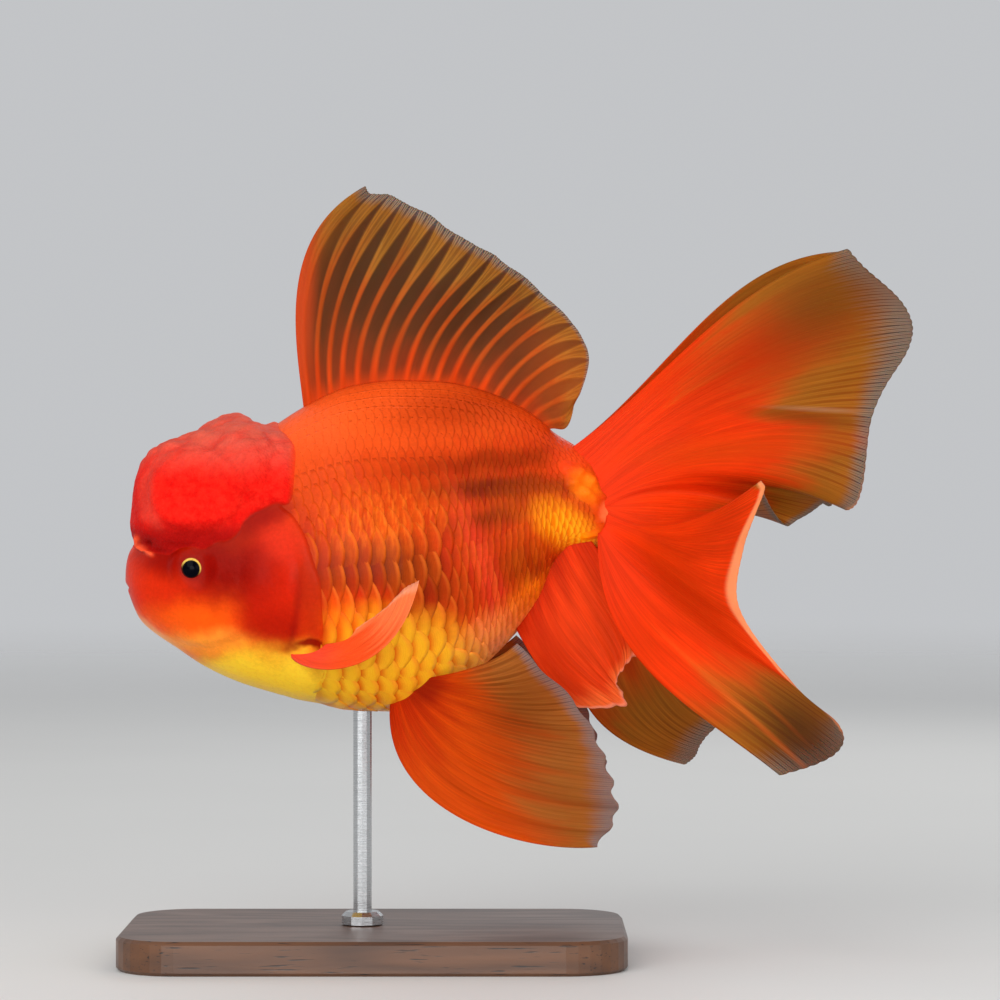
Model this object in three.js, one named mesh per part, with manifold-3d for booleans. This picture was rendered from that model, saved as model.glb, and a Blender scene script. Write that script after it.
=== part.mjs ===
// A red oranda, the hooded kind of fancy goldfish with a double tail, life size, as a still display model.
// It is held by one rod on a flat base. Millimetres; the fish heads along -X, its left side faces -Y, its
// back is up +Z, and the origin is the middle of the base's underside.

import * as THREE from 'three';
import { mergeVertices } from 'three/addons/utils/BufferGeometryUtils.js';
import Module from 'manifold-3d';

const wasm = await Module();
wasm.setup();

const LEFT = -1;
const RIGHT = 1;
const GAP = 0.3; // between neighbouring pieces

// ---------------------------------------------------------------- driving dimensions

// Sections of the body from the snout to the root of the tail: how far along X, the height of the back, the
// height of the belly, and half of the width.
const BODY_SECTIONS = [
  { x: -59.8, back: 91.9, belly: 91.9, half: 0 },
  { x: -58.6, back: 98, belly: 86.6, half: 6.5 },
  { x: -55.9, back: 100.6, belly: 80.9, half: 12 },
  { x: -52, back: 104.5, belly: 77.5, half: 15.8 },
  { x: -47.3, back: 109, belly: 74.4, half: 18.6 },
  { x: -40.8, back: 115, belly: 70.1, half: 21 },
  { x: -32.4, back: 122, belly: 66.2, half: 23 },
  { x: -24, back: 128.2, belly: 63.6, half: 24.5 },
  { x: -15.6, back: 133.4, belly: 61.2, half: 26 },
  { x: -6, back: 137.5, belly: 59.5, half: 26.7 },
  { x: 4.8, back: 139, belly: 59.2, half: 26 },
  { x: 15.6, back: 138.7, belly: 62.4, half: 23.6 },
  { x: 25.2, back: 136.8, belly: 69.1, half: 19.8 },
  { x: 33.6, back: 133.4, belly: 77.3, half: 15.8 },
  { x: 39.6, back: 129.6, belly: 85.2, half: 12.4 },
  { x: 43.4, back: 126.3, belly: 94, half: 10 },
  { x: 47.3, back: 123.9, belly: 97.6, half: 8.2 },
  { x: 52.1, back: 120.5, belly: 98.2, half: 6.4 },
  { x: 55.4, back: 114.7, belly: 99.1, half: 4.8 },
  { x: 57.8, back: 108.5, belly: 101.8, half: 2.6 },
  { x: 58.3, back: 105.1, belly: 105.1, half: 0 },
];
const SNOUT_X = BODY_SECTIONS[0].x;
const BODY_END_X = BODY_SECTIONS[BODY_SECTIONS.length - 1].x;
const BACK_TAPER = 0.1; // how much narrower than the belly the back is
const BODY_ROUND = 26;
const BODY_LONG = 28;
const PEDUNCLE_X = 44; // where the tail stalk starts

// Cuts reach past the fish on every side.
const CUT_AHEAD = -90;
const CUT_BEHIND = 80;
const CUT_BELOW = 45;
const CUT_ABOVE = 150;
const CUT_BESIDE = 60;
const CURVE_STEPS = 3; // in each stretch of a rounded outline

// The edge of the shoulder, from above the nape to below the throat, where head meets trunk.
const SHOULDER_EDGE = [[-22, CUT_ABOVE], [-22, 134], [-20, 117], [-17.5, 106.5], [-13.5, 96], [-11.5, 86.5],
  [-11, 76], [-17, 56], [-17, CUT_BELOW]];
const MOUTH_LINE = [[-70, 89.5], [-53.5, 88], [-49, 83.5], [-47, 74], [-48, 60], [-70, 60]];
const GILL_COVER = [[-25.5, 108], [-20.5, 106], [-16.5, 99], [-15.5, 90], [-17, 81], [-21, 75.5], [-27, 77],
  [-30, 85.5], [-30.5, 98]];
const GILL_COVER_PROUD = 0.5;
const GILL_COVER_DEPTH = 1.5;
const GILL_COVER_INNER = 6; // how near the middle its cut comes
const GILL_COVER_OUTER = 40;

const EYE = { x: -42.5, z: 94, out: 16.8, radii: [4.4, 4.4, 4.4], around: 12, along: 8 };
const NOSTRIL_FLAP = { x: -53.4, z: 98.7, out: 11.6, radii: [2.3, 1.7, 2.1], around: 10, along: 6 };

// The hood is one soft skin drawn over a bunch of lobes; each is a centre and its three radii, and those off
// the middle are there on both sides.
const HOOD_CENTRE = [-40, 0, 110];
const HOOD_LOBES = [
  { at: [-34, 0, 118], radii: [10.5, 15, 12.3] },
  { at: [-44.3, 6, 111.8], radii: [12.6, 12.5, 13] },
  { at: [-30, 10, 115], radii: [9, 12, 11.5] },
  { at: [-49, 7, 105.6], radii: [8, 9, 8] },
  { at: [-40.5, 13, 105.5], radii: [12, 8.5, 8] },
];
const HOOD_BLEND = 9; // higher draws the skin tighter into the creases
const HOOD_ROUND = 24;
const HOOD_LONG = 16;

// Each fin is a sheet of rays. Four rows give its form: at the root, a third and two thirds of the way out,
// and at the margin. A row's points go from the first ray to the last.
const DORSAL_FIN = {
  root: [[-17, 0, 131], [-7, 0, 134.5], [6, 0, 137], [19, 0, 136], [31, 0, 132], [41, 0, 126.5]],
  third: [[-19, 0, 150], [-6, 1, 151.5], [10, -1, 150.5], [24, 1, 147], [37, 0, 139.5], [43.5, 0, 127]],
  twoThirds: [[-16.5, 0, 169.5], [0.5, 2, 167], [17, -1.5, 160.5], [31.5, 1.5, 155], [44.5, -1, 144.5],
    [45.5, 0, 127]],
  margin: [[-3, 0, 185], [9, 3, 181], [25, -2, 170.5], [39, 2, 161], [51, -1.5, 146], [47.3, 0, 130]],
  rays: 18,
  steps: 5,
  scallops: 7,
};
const PECTORAL_FIN = {
  root: [[-19.5, -18, 74], [-17, -18.5, 74.5], [-14.5, -19, 75], [-12, -19.5, 75.5]],
  third: [[-12, -30, 71.5], [-10, -28.5, 72.5], [-9, -27, 74.5], [-8.5, -25.5, 76.5]],
  twoThirds: [[1, -40, 75.5], [0.5, -37, 77.5], [-2, -33, 79], [-5.5, -29, 77.5]],
  margin: [[11.5, -44, 91.5], [8, -40, 89.5], [3, -35, 84.5], [-3.5, -30, 80]],
  rays: 8,
  steps: 5,
  scallops: 4,
};
const PELVIC_FIN = {
  root: [[4, -9, 61], [7.5, -10.5, 63], [9.5, -12, 64.5], [12, -13, 66], [13.5, -14, 68]],
  third: [[12, -19, 41.5], [21, -21, 47.5], [24, -21.5, 55], [24.5, -20.5, 62], [20, -18, 69.5]],
  twoThirds: [[32, -28, 31.5], [39.5, -31, 40.5], [39.5, -31, 50.5], [37.5, -28, 60], [27, -21, 72]],
  margin: [[52.5, -36, 30], [57, -40, 39.5], [54.5, -38, 49], [49.5, -33, 60.5], [34, -22, 76.5]],
  rays: 11,
  steps: 5,
  scallops: 5,
};
const ANAL_FIN = {
  root: [[35, -4, 80], [39, -4.5, 85.5], [42.5, -4, 92.5], [48, -2.5, 98.5]],
  third: [[38, -8, 72], [44.5, -8.5, 76.5], [49, -7.5, 82.5], [53, -5.5, 88]],
  twoThirds: [[43, -12, 65.5], [52, -13, 69], [53, -11, 74.5], [57, -8.5, 79]],
  margin: [[48.5, -15, 61], [60, -16, 62.5], [57.5, -14, 67], [62.5, -11, 72.5]],
  rays: 8,
  steps: 5,
  scallops: 3,
};
// The last two rays of an upper lobe are the web that folds in behind it and out to the lower lobe.
const TAIL_UPPER_LOBE = {
  root: [[48, -2, 123], [51.5, -2.5, 119], [53.5, -3, 115], [55.5, -3.5, 112], [56, -4, 110],
    [56.5, -4, 108.7], [56.5, -4.5, 107.4]],
  third: [[68.5, -4, 140.5], [73, -7, 137.5], [76, -10, 131], [77, -12.5, 124], [75, -13, 117],
    [71.5, -9, 111], [68.5, -16, 104.5]],
  twoThirds: [[88, -8, 157.5], [97.5, -14, 152.5], [100.5, -20, 140], [99, -24, 128.5], [94, -24, 116],
    [88, -13, 110.5], [79.5, -29.5, 107]],
  margin: [[112.5, -12, 169.5], [122, -20, 156], [124.5, -27, 145], [117, -31, 129.5],
    [112.5, -30, 108.5], [102, -14, 107.5], [90, -39, 112]],
  rays: 21,
  steps: 5,
  scallops: 8,
};
const TAIL_LOWER_LOBE = {
  root: [[57, -5, 105.8], [57, -5.5, 104.5], [56.5, -5.5, 103], [56, -5.5, 101.5], [55.5, -5.5, 100],
    [53.5, -5, 99]],
  third: [[69, -19, 103], [67.5, -18, 100.5], [66.5, -17, 96.5], [69, -18, 90], [71.5, -20, 82.5],
    [60, -18, 76]],
  twoThirds: [[80.5, -34, 106], [77, -30, 98], [76.5, -28, 89], [83, -31, 79], [90.5, -35, 68.5],
    [75.5, -32, 60.5]],
  margin: [[91, -44, 112.5], [86, -37, 99], [86, -34, 84], [97, -39, 68.5], [109, -45, 55], [94, -44, 46.8]],
  rays: 16,
  steps: 5,
  scallops: 6,
};
// The right lower lobe hangs steeper than the left one.
const TAIL_LOWER_LOBE_RIGHT = {
  root: [[57, 5, 105.8], [57, 5.5, 103], [55.5, 5, 100.5], [53.5, 4.5, 99]],
  third: [[69, 16, 95.5], [66, 18, 88], [59, 19, 79], [48, 18, 72]],
  twoThirds: [[79, 28, 88], [76, 31, 71], [67, 31, 60], [55.5, 29, 54]],
  margin: [[88, 38, 85], [88, 42, 62], [82, 42, 49.5], [76, 39, 43.8]],
  rays: 13,
  steps: 5,
  scallops: 5,
};
// How much higher the right upper lobe's top edge stands.
const RIGHT_UPPER_LOBE_LIFT = { third: 1.8, twoThirds: 3.6, margin: 1.2 };
const FIN_ROOT_THICKNESS = 1.3;
const FIN_MARGIN_THICKNESS = 0.6;
const SCALLOP_DEPTH = 0.014; // of a ray's length

const BASE = { length: 120, width: 72, height: 8, corner: 14, cornerSteps: 4, chamfer: 0.8 };
const ROD = { x: -3, radius: 2.2, collarRadius: 5, collarHeight: 3, collarChamfer: 1, sides: 12 };
const ROD_PAST_BELLY = 5; // before the body is cut from it

const WELD = 1e-4; // corners nearer than this are one
const TINY = 1e-6;

// ---------------------------------------------------------------- materials

function skinMaterial(color, roughness) {
  return new THREE.MeshStandardMaterial({ color, roughness, metalness: 0 });
}
const HOOD_RED = skinMaterial(0xe8231f, 0.6);
const CHEEK_RED = skinMaterial(0xd93a12, 0.45);
const SCALE_ORANGE = skinMaterial(0xd9590f, 0.35);
const FIN_ORANGE = skinMaterial(0xf04a14, 0.4);
const EYE_BLACK = skinMaterial(0x14100c, 0.08);
const BASE_WOOD = skinMaterial(0x4a2f1e, 0.5);
const ROD_STEEL = new THREE.MeshStandardMaterial({ color: 0xb8babd, roughness: 0.35, metalness: 1 });

// ---------------------------------------------------------------- solids and meshes

function signedVolume(geometry) {
  const { array } = geometry.attributes.position;
  const corner = [new THREE.Vector3(), new THREE.Vector3(), new THREE.Vector3()];
  let total = 0;
  for (let i = 0; i < geometry.index.count; i += 3) {
    corner.forEach((point, k) => point.fromArray(array, 3 * geometry.index.getX(i + k)));
    total += corner[0].dot(corner[1].clone().cross(corner[2])) / 6;
  }
  return total;
}

// A closed geometry as a solid, with its faces turned out.
function solidOf(geometry) {
  const bare = geometry.clone();
  bare.deleteAttribute('normal');
  bare.deleteAttribute('uv');
  const merged = mergeVertices(bare, WELD);
  const triangles = new Uint32Array(merged.index.array);
  if (signedVolume(merged) < 0) {
    for (let i = 0; i < triangles.length; i += 3) {
      [triangles[i + 1], triangles[i + 2]] = [triangles[i + 2], triangles[i + 1]];
    }
  }
  return new wasm.Manifold(new wasm.Mesh({
    numProp: 3,
    vertProperties: new Float32Array(merged.attributes.position.array),
    triVerts: triangles,
  }));
}

const without = (solid, ...cutters) => cutters.reduce((rest, cutter) => rest.subtract(cutter), solid);
const largestPiece = (solid) => solid.decompose().reduce((a, b) => (a.volume() > b.volume() ? a : b));

function node(name, solid, material) {
  const { vertProperties, triVerts } = largestPiece(solid).getMesh();
  const geometry = new THREE.BufferGeometry();
  geometry.setAttribute('position', new THREE.BufferAttribute(vertProperties, 3));
  geometry.setIndex(new THREE.BufferAttribute(triVerts, 1));
  geometry.computeVertexNormals();
  const mesh = new THREE.Mesh(geometry, material);
  mesh.name = name;
  return mesh;
}

// A prism across the whole body on an outline drawn in the side view, X and Z.
function sidePrism(outline, { from = -CUT_BESIDE, to = CUT_BESIDE, rounded = false } = {}) {
  const points = outline.map(([x, z]) => new THREE.Vector2(x, z));
  const shape = new THREE.Shape();
  if (rounded) {
    shape.moveTo(points[0].x, points[0].y);
    shape.splineThru([...points.slice(1), points[0]]);
  } else {
    shape.setFromPoints(points);
  }
  const geometry = new THREE.ExtrudeGeometry(shape, { depth: to - from, bevelEnabled: false,
    curveSegments: CURVE_STEPS });
  geometry.rotateX(Math.PI / 2);
  geometry.translate(0, to, 0);
  return solidOf(geometry);
}

// ---------------------------------------------------------------- body

// A smooth curve through the points that never swings past them.
function smoothThrough(at, values) {
  const slope = values.slice(1).map((value, i) => (value - values[i]) / (at[i + 1] - at[i]));
  const tangent = values.map((_, i) => {
    if (i === 0) return slope[0];
    if (i === values.length - 1) return slope[i - 1];
    const [before, after] = [slope[i - 1], slope[i]];
    return before * after <= 0 ? 0 : (2 * before * after) / (before + after);
  });
  return (where) => {
    const next = at.findIndex((knot) => knot >= where);
    const i = Math.max(0, (next < 0 ? at.length : next) - 1);
    const width = at[i + 1] - at[i];
    const u = (where - at[i]) / width;
    return values[i] * (1 + 2 * u) * (1 - u) ** 2 + values[i + 1] * (3 - 2 * u) * u ** 2
      + width * u * (1 - u) * (tangent[i] * (1 - u) - tangent[i + 1] * u);
  };
}

// Stations run 0 to 1 from snout to tail root, close together at both ends so that the ends are round.
const stationOf = (x) => Math.acos(1 - (2 * (x - SNOUT_X)) / (BODY_END_X - SNOUT_X)) / Math.PI;
const stationX = (station) => SNOUT_X + ((BODY_END_X - SNOUT_X) * (1 - Math.cos(Math.PI * station))) / 2;
const stations = BODY_SECTIONS.map(({ x }) => stationOf(x));
const backAt = smoothThrough(stations, BODY_SECTIONS.map(({ back }) => back));
const bellyAt = smoothThrough(stations, BODY_SECTIONS.map(({ belly }) => belly));
const halfAt = smoothThrough(stations, BODY_SECTIONS.map(({ half }) => half));

// The whole body in one piece, grown (or shrunk, when negative) by a skin of even depth.
function bodySolid(grow = 0) {
  const geometry = new THREE.SphereGeometry(1, BODY_ROUND, BODY_LONG);
  const position = geometry.attributes.position;
  const middleX = (SNOUT_X + BODY_END_X) / 2;
  const stretch = 1 + (2 * grow) / (BODY_END_X - SNOUT_X);
  for (let i = 0; i < position.count; i += 1) {
    const station = Math.acos(THREE.MathUtils.clamp(position.getY(i), -1, 1)) / Math.PI;
    const radius = Math.max(Math.hypot(position.getX(i), position.getZ(i)), TINY);
    const pole = station < TINY || station > 1 - TINY;
    const across = pole ? 0 : position.getX(i) / radius;
    const up = pole ? 0 : position.getZ(i) / radius;
    const rise = (backAt(station) - bellyAt(station)) / 2 + grow;
    const middle = (backAt(station) + bellyAt(station)) / 2;
    const x = middleX + (stationX(station) - middleX) * stretch;
    position.setXYZ(i, x, (halfAt(station) + grow) * across * (1 - BACK_TAPER * up), middle + rise * up);
  }
  return solidOf(geometry);
}

// ---------------------------------------------------------------- hood, eyes, nostrils

// An ellipsoid on one side of the head, grown by an even depth.
function sideBlob({ x, z, out, radii, around, along }, side, grow = 0) {
  const geometry = new THREE.SphereGeometry(1, around, along);
  geometry.scale(...radii.map((radius) => radius + grow));
  geometry.translate(x, side * out, z);
  return solidOf(geometry);
}

// How far a lobe reaches from the middle of the hood in one direction, or 0 where it lies elsewhere.
function lobeReach({ at, radii }, direction) {
  const toMiddle = HOOD_CENTRE.map((value, axis) => (value - at[axis]) / radii[axis]);
  const heading = direction.map((value, axis) => value / radii[axis]);
  const dot = (first, second) => first.reduce((sum, value, axis) => sum + value * second[axis], 0);
  const square = dot(heading, heading);
  const half = dot(heading, toMiddle);
  const inside = half * half - square * (dot(toMiddle, toMiddle) - 1);
  return inside <= 0 ? 0 : Math.max(0, (Math.sqrt(inside) - half) / square);
}

function hoodSolid(grow = 0) {
  const lobes = HOOD_LOBES.flatMap((lobe) => {
    const [x, y, z] = lobe.at;
    return y === 0 ? [lobe] : [lobe, { ...lobe, at: [x, -y, z] }];
  });
  const geometry = new THREE.SphereGeometry(1, HOOD_ROUND, HOOD_LONG);
  const position = geometry.attributes.position;
  for (let i = 0; i < position.count; i += 1) {
    const direction = [position.getX(i), position.getY(i), position.getZ(i)];
    const sum = lobes.reduce((total, lobe) => total + lobeReach(lobe, direction) ** HOOD_BLEND, 0);
    const reach = sum ** (1 / HOOD_BLEND) + grow;
    position.setXYZ(i, ...direction.map((value, axis) => HOOD_CENTRE[axis] + value * reach));
  }
  return solidOf(geometry);
}

// ---------------------------------------------------------------- gill covers

function gillPrism(side, grow = 0) {
  const middle = GILL_COVER.reduce(([sumX, sumZ], [x, z]) => [sumX + x, sumZ + z], [0, 0])
    .map((sum) => sum / GILL_COVER.length);
  const outline = GILL_COVER.map(([x, z]) => {
    const reach = Math.hypot(x - middle[0], z - middle[1]);
    const scale = 1 + grow / reach;
    return [middle[0] + (x - middle[0]) * scale, middle[1] + (z - middle[1]) * scale];
  });
  const span = side === LEFT
    ? { from: -GILL_COVER_OUTER, to: -GILL_COVER_INNER }
    : { from: GILL_COVER_INNER, to: GILL_COVER_OUTER };
  return sidePrism(outline, { ...span, rounded: true });
}

const gillCover = (side) => bodySolid(GILL_COVER_PROUD).subtract(bodySolid(-GILL_COVER_DEPTH))
  .intersect(gillPrism(side));

const gillPocket = (side) => gillPrism(side, GAP).subtract(bodySolid(-GILL_COVER_DEPTH - GAP));

// ---------------------------------------------------------------- fins

const rowCurve = (points) => new THREE.CatmullRomCurve3(
  points.map((point) => new THREE.Vector3(...point)), false, 'catmullrom', 0.5);

// A cubic through four rows, a third of the ray apart.
function alongRay(rows, out) {
  const weights = [
    -4.5 * (out - 1 / 3) * (out - 2 / 3) * (out - 1),
    13.5 * out * (out - 2 / 3) * (out - 1),
    -13.5 * out * (out - 1 / 3) * (out - 1),
    4.5 * out * (out - 1 / 3) * (out - 2 / 3),
  ];
  return rows.reduce((sum, row, i) => sum.addScaledVector(row, weights[i]), new THREE.Vector3());
}

function finPoint(curves, ray, out, scallops) {
  const reach = 1 + SCALLOP_DEPTH * Math.cos(2 * Math.PI * scallops * ray);
  return alongRay(curves.map((curve) => curve.getPoint(ray)), out * reach);
}

// A sheet of even rays, thickest at the root, bent to its rows.
function finSolid({ root, third, twoThirds, margin, rays, steps, scallops }) {
  const curves = [root, third, twoThirds, margin].map(rowCurve);
  const geometry = new THREE.BoxGeometry(1, 1, 1, rays, steps, 1);
  const position = geometry.attributes.position;
  const nudge = 1e-3;
  for (let i = 0; i < position.count; i += 1) {
    const ray = THREE.MathUtils.clamp(position.getX(i) + 0.5, 0, 1);
    const out = position.getY(i) + 0.5;
    const side = Math.sign(position.getZ(i));
    const rayLow = Math.max(ray - nudge, 0);
    const rayHigh = Math.min(ray + nudge, 1);
    const acrossRays = finPoint(curves, rayHigh, out, 0).sub(finPoint(curves, rayLow, out, 0));
    const alongRays = finPoint(curves, ray, out + nudge, 0).sub(finPoint(curves, ray, out - nudge, 0));
    const normal = acrossRays.cross(alongRays).normalize();
    const thickness = THREE.MathUtils.lerp(FIN_ROOT_THICKNESS, FIN_MARGIN_THICKNESS, out);
    const point = finPoint(curves, ray, out, scallops).addScaledVector(normal, (side * thickness) / 2);
    position.setXYZ(i, point.x, point.y, point.z);
  }
  return solidOf(geometry);
}

const onRightSide = (fin) => {
  const flip = (row) => row.map(([x, y, z]) => [x, -y, z]);
  return { ...fin, root: flip(fin.root), third: flip(fin.third), twoThirds: flip(fin.twoThirds),
    margin: flip(fin.margin) };
};

// The right upper lobe is the left one's mirror, with its top edge standing a little higher.
function rightUpperLobe() {
  const lobe = onRightSide(TAIL_UPPER_LOBE);
  for (const [row, lift] of Object.entries(RIGHT_UPPER_LOBE_LIFT)) {
    lobe[row] = lobe[row].map(([x, y, z], i) => [x, y, z + lift * (1 - i / (lobe[row].length - 1))]);
  }
  return lobe;
}

// ---------------------------------------------------------------- stand

function baseSolid() {
  const { length, width, height, corner, cornerSteps, chamfer } = BASE;
  const [halfLength, halfWidth] = [length / 2 - chamfer, width / 2 - chamfer];
  const shape = new THREE.Shape();
  shape.moveTo(-halfLength + corner, -halfWidth);
  shape.absarc(halfLength - corner, -halfWidth + corner, corner, -Math.PI / 2, 0);
  shape.absarc(halfLength - corner, halfWidth - corner, corner, 0, Math.PI / 2);
  shape.absarc(-halfLength + corner, halfWidth - corner, corner, Math.PI / 2, Math.PI);
  shape.absarc(-halfLength + corner, -halfWidth + corner, corner, Math.PI, 1.5 * Math.PI);
  const geometry = new THREE.ExtrudeGeometry(shape, { depth: height - 2 * chamfer, bevelEnabled: true,
    bevelSize: chamfer, bevelThickness: chamfer, bevelSegments: 1, curveSegments: cornerSteps });
  geometry.translate(0, 0, chamfer);
  return solidOf(geometry);
}

// The rod with its collar, from the base up into the body, turned on its own axis.
function rodSolid() {
  const foot = BASE.height + GAP;
  const top = bellyAt(stationOf(ROD.x)) + ROD_PAST_BELLY;
  const profile = [
    [0, foot],
    [ROD.collarRadius, foot],
    [ROD.collarRadius, foot + ROD.collarHeight - ROD.collarChamfer],
    [ROD.collarRadius - ROD.collarChamfer, foot + ROD.collarHeight],
    [ROD.radius, foot + ROD.collarHeight],
    [ROD.radius, top],
    [0, top],
  ].map(([radius, height]) => new THREE.Vector2(radius, height));
  const geometry = new THREE.LatheGeometry(profile, ROD.sides);
  geometry.rotateX(Math.PI / 2);
  geometry.translate(ROD.x, 0, 0);
  return solidOf(geometry);
}

// ---------------------------------------------------------------- the fish, taken apart by thin cuts

const body = bodySolid();
const clearOfBody = bodySolid(GAP);
const clearOfHood = hoodSolid(GAP);

const headRegion = (shift = 0) => sidePrism([[CUT_AHEAD, CUT_BELOW], [CUT_AHEAD, CUT_ABOVE],
  ...SHOULDER_EDGE.map(([x, z]) => [x + shift, z])]);
const jawRegion = sidePrism(MOUTH_LINE);
const jawClearance = sidePrism(MOUTH_LINE.map(([x, z]) => [x + GAP, z + GAP])).add(jawRegion);
const stalkRegion = (x) => sidePrism([[x, CUT_BELOW], [CUT_BEHIND, CUT_BELOW], [CUT_BEHIND, CUT_ABOVE],
  [x, CUT_ABOVE]]);
const fin = (name, shape) => node(name, without(finSolid(shape), clearOfBody), FIN_ORANGE);

const fish = [
  node('head', without(body.intersect(headRegion()), jawClearance, gillPocket(LEFT), gillPocket(RIGHT),
    sideBlob(EYE, LEFT, GAP), sideBlob(EYE, RIGHT, GAP)), CHEEK_RED),
  node('jaw', body.intersect(jawRegion), CHEEK_RED),
  node('hood', without(hoodSolid(), clearOfBody), HOOD_RED),
  node('trunk', without(body, headRegion(GAP), stalkRegion(PEDUNCLE_X)), SCALE_ORANGE),
  node('caudal_peduncle', body.intersect(stalkRegion(PEDUNCLE_X + GAP)), SCALE_ORANGE),
  fin('dorsal_fin', DORSAL_FIN),
  fin('tail_fin_upper_left', TAIL_UPPER_LOBE),
  fin('tail_fin_upper_right', rightUpperLobe()),
  fin('tail_fin_lower_left', TAIL_LOWER_LOBE),
  fin('tail_fin_lower_right', TAIL_LOWER_LOBE_RIGHT),
];

for (const [side, label] of [[LEFT, 'left'], [RIGHT, 'right']]) {
  const ofThisSide = (shape) => (side === LEFT ? shape : onRightSide(shape));
  fish.push(
    node(`eye_${label}`, without(sideBlob(EYE, side), clearOfHood), EYE_BLACK),
    node(`nostril_flap_${label}`, without(sideBlob(NOSTRIL_FLAP, side), clearOfBody, clearOfHood), HOOD_RED),
    node(`gill_cover_${label}`, gillCover(side), CHEEK_RED),
    fin(`pectoral_fin_${label}`, ofThisSide(PECTORAL_FIN)),
    fin(`pelvic_fin_${label}`, ofThisSide(PELVIC_FIN)),
    fin(`anal_fin_${label}`, ofThisSide(ANAL_FIN)),
  );
}

const group = new THREE.Group();
group.add(
  ...fish,
  node('stand_base', baseSolid(), BASE_WOOD),
  node('stand_rod', without(rodSolid(), clearOfBody), ROD_STEEL),
);

export default group;
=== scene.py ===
"""A red oranda goldfish on a plain stand: one wet skin, scales in rows over it, rayed fins and eyes."""
import math

import bpy
import numpy as np
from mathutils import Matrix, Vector


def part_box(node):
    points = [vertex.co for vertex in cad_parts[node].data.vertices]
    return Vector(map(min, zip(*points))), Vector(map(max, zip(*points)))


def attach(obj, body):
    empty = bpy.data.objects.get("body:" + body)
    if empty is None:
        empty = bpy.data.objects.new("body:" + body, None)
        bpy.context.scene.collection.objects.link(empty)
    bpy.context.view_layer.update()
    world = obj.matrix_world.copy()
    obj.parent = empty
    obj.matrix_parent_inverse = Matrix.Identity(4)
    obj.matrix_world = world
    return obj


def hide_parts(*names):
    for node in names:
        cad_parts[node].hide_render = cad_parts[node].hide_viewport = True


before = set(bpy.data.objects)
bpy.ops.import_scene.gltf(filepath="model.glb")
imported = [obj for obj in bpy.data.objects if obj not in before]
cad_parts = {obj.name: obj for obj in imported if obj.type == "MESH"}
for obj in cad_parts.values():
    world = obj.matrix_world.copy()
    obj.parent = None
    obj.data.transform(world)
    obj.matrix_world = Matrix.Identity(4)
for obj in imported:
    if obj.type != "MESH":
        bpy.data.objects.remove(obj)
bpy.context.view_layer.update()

MM = 0.001
LEFT = -1
RIGHT = 1
SIDES = ((LEFT, "left"), (RIGHT, "right"))
BODY = "root"

# ---------------------------------------------------------------- body, in millimetres

# How far along X, the height of the back, the height of the belly, and half of the width.
BODY_SECTIONS = np.array([
    (-59.8, 91.9, 91.9, 0), (-58.6, 98, 86.6, 6.5), (-55.9, 100.6, 80.9, 12), (-52, 104.5, 77.5, 15.8),
    (-47.3, 109, 74.4, 18.6), (-40.8, 115, 70.1, 21), (-32.4, 122, 66.2, 23), (-24, 128.2, 63.6, 24.5),
    (-15.6, 133.4, 61.2, 26), (-6, 137.5, 59.5, 26.7), (4.8, 139, 59.2, 26), (15.6, 138.7, 62.4, 23.6),
    (25.2, 136.8, 69.1, 19.8), (33.6, 133.4, 77.3, 15.8), (39.6, 129.6, 85.2, 12.4), (43.4, 126.3, 94, 10),
    (47.3, 123.9, 97.6, 8.2), (52.1, 120.5, 98.2, 6.4), (55.4, 114.7, 99.1, 4.8), (57.8, 108.5, 101.8, 2.6),
    (58.3, 105.1, 105.1, 0)])
SNOUT_X, TAIL_ROOT_X = BODY_SECTIONS[0, 0], BODY_SECTIONS[-1, 0]
BACK_TAPER = 0.1
SCALE_DEPTH = 0.45  # how far the skin sinks where scales cover it
SCALE_REST = 0.05  # how far above the skin a flat scale lies

# The hood: lobes under one skin, each a centre and three radii, those off the middle on both sides.
HOOD_CENTRE = np.array([-40.0, 0.0, 110.0])
HOOD_LOBES = [
    ((-34, 0, 118), (10.5, 15, 12.3)),
    ((-44.3, 6, 111.8), (12.6, 12.5, 13)), ((-44.3, -6, 111.8), (12.6, 12.5, 13)),
    ((-30, 10, 115), (9, 12, 11.5)), ((-30, -10, 115), (9, 12, 11.5)),
    ((-49, 7, 105.6), (8, 9, 8)), ((-49, -7, 105.6), (8, 9, 8)),
    ((-40.5, 13, 105.5), (12, 8.5, 8)), ((-40.5, -13, 105.5), (12, 8.5, 8))]
HOOD_BLEND = 9
# Where the outline of the lobes is let out or taken in, seen from the side: degrees up from the tail end,
# and how far.
HOOD_TRIM = np.array([
    (0, 0), (40, -0.5), (48, -1.3), (62, -0.4), (74, 0.1), (84, -0.8), (96, -0.1), (108, -0.4), (121, -0.9),
    (136, -0.1), (150, 0), (172, 0), (186, -0.9), (197, 0.4), (207, 1.4), (217, 1.5), (232, 0), (360, 0)])
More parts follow.
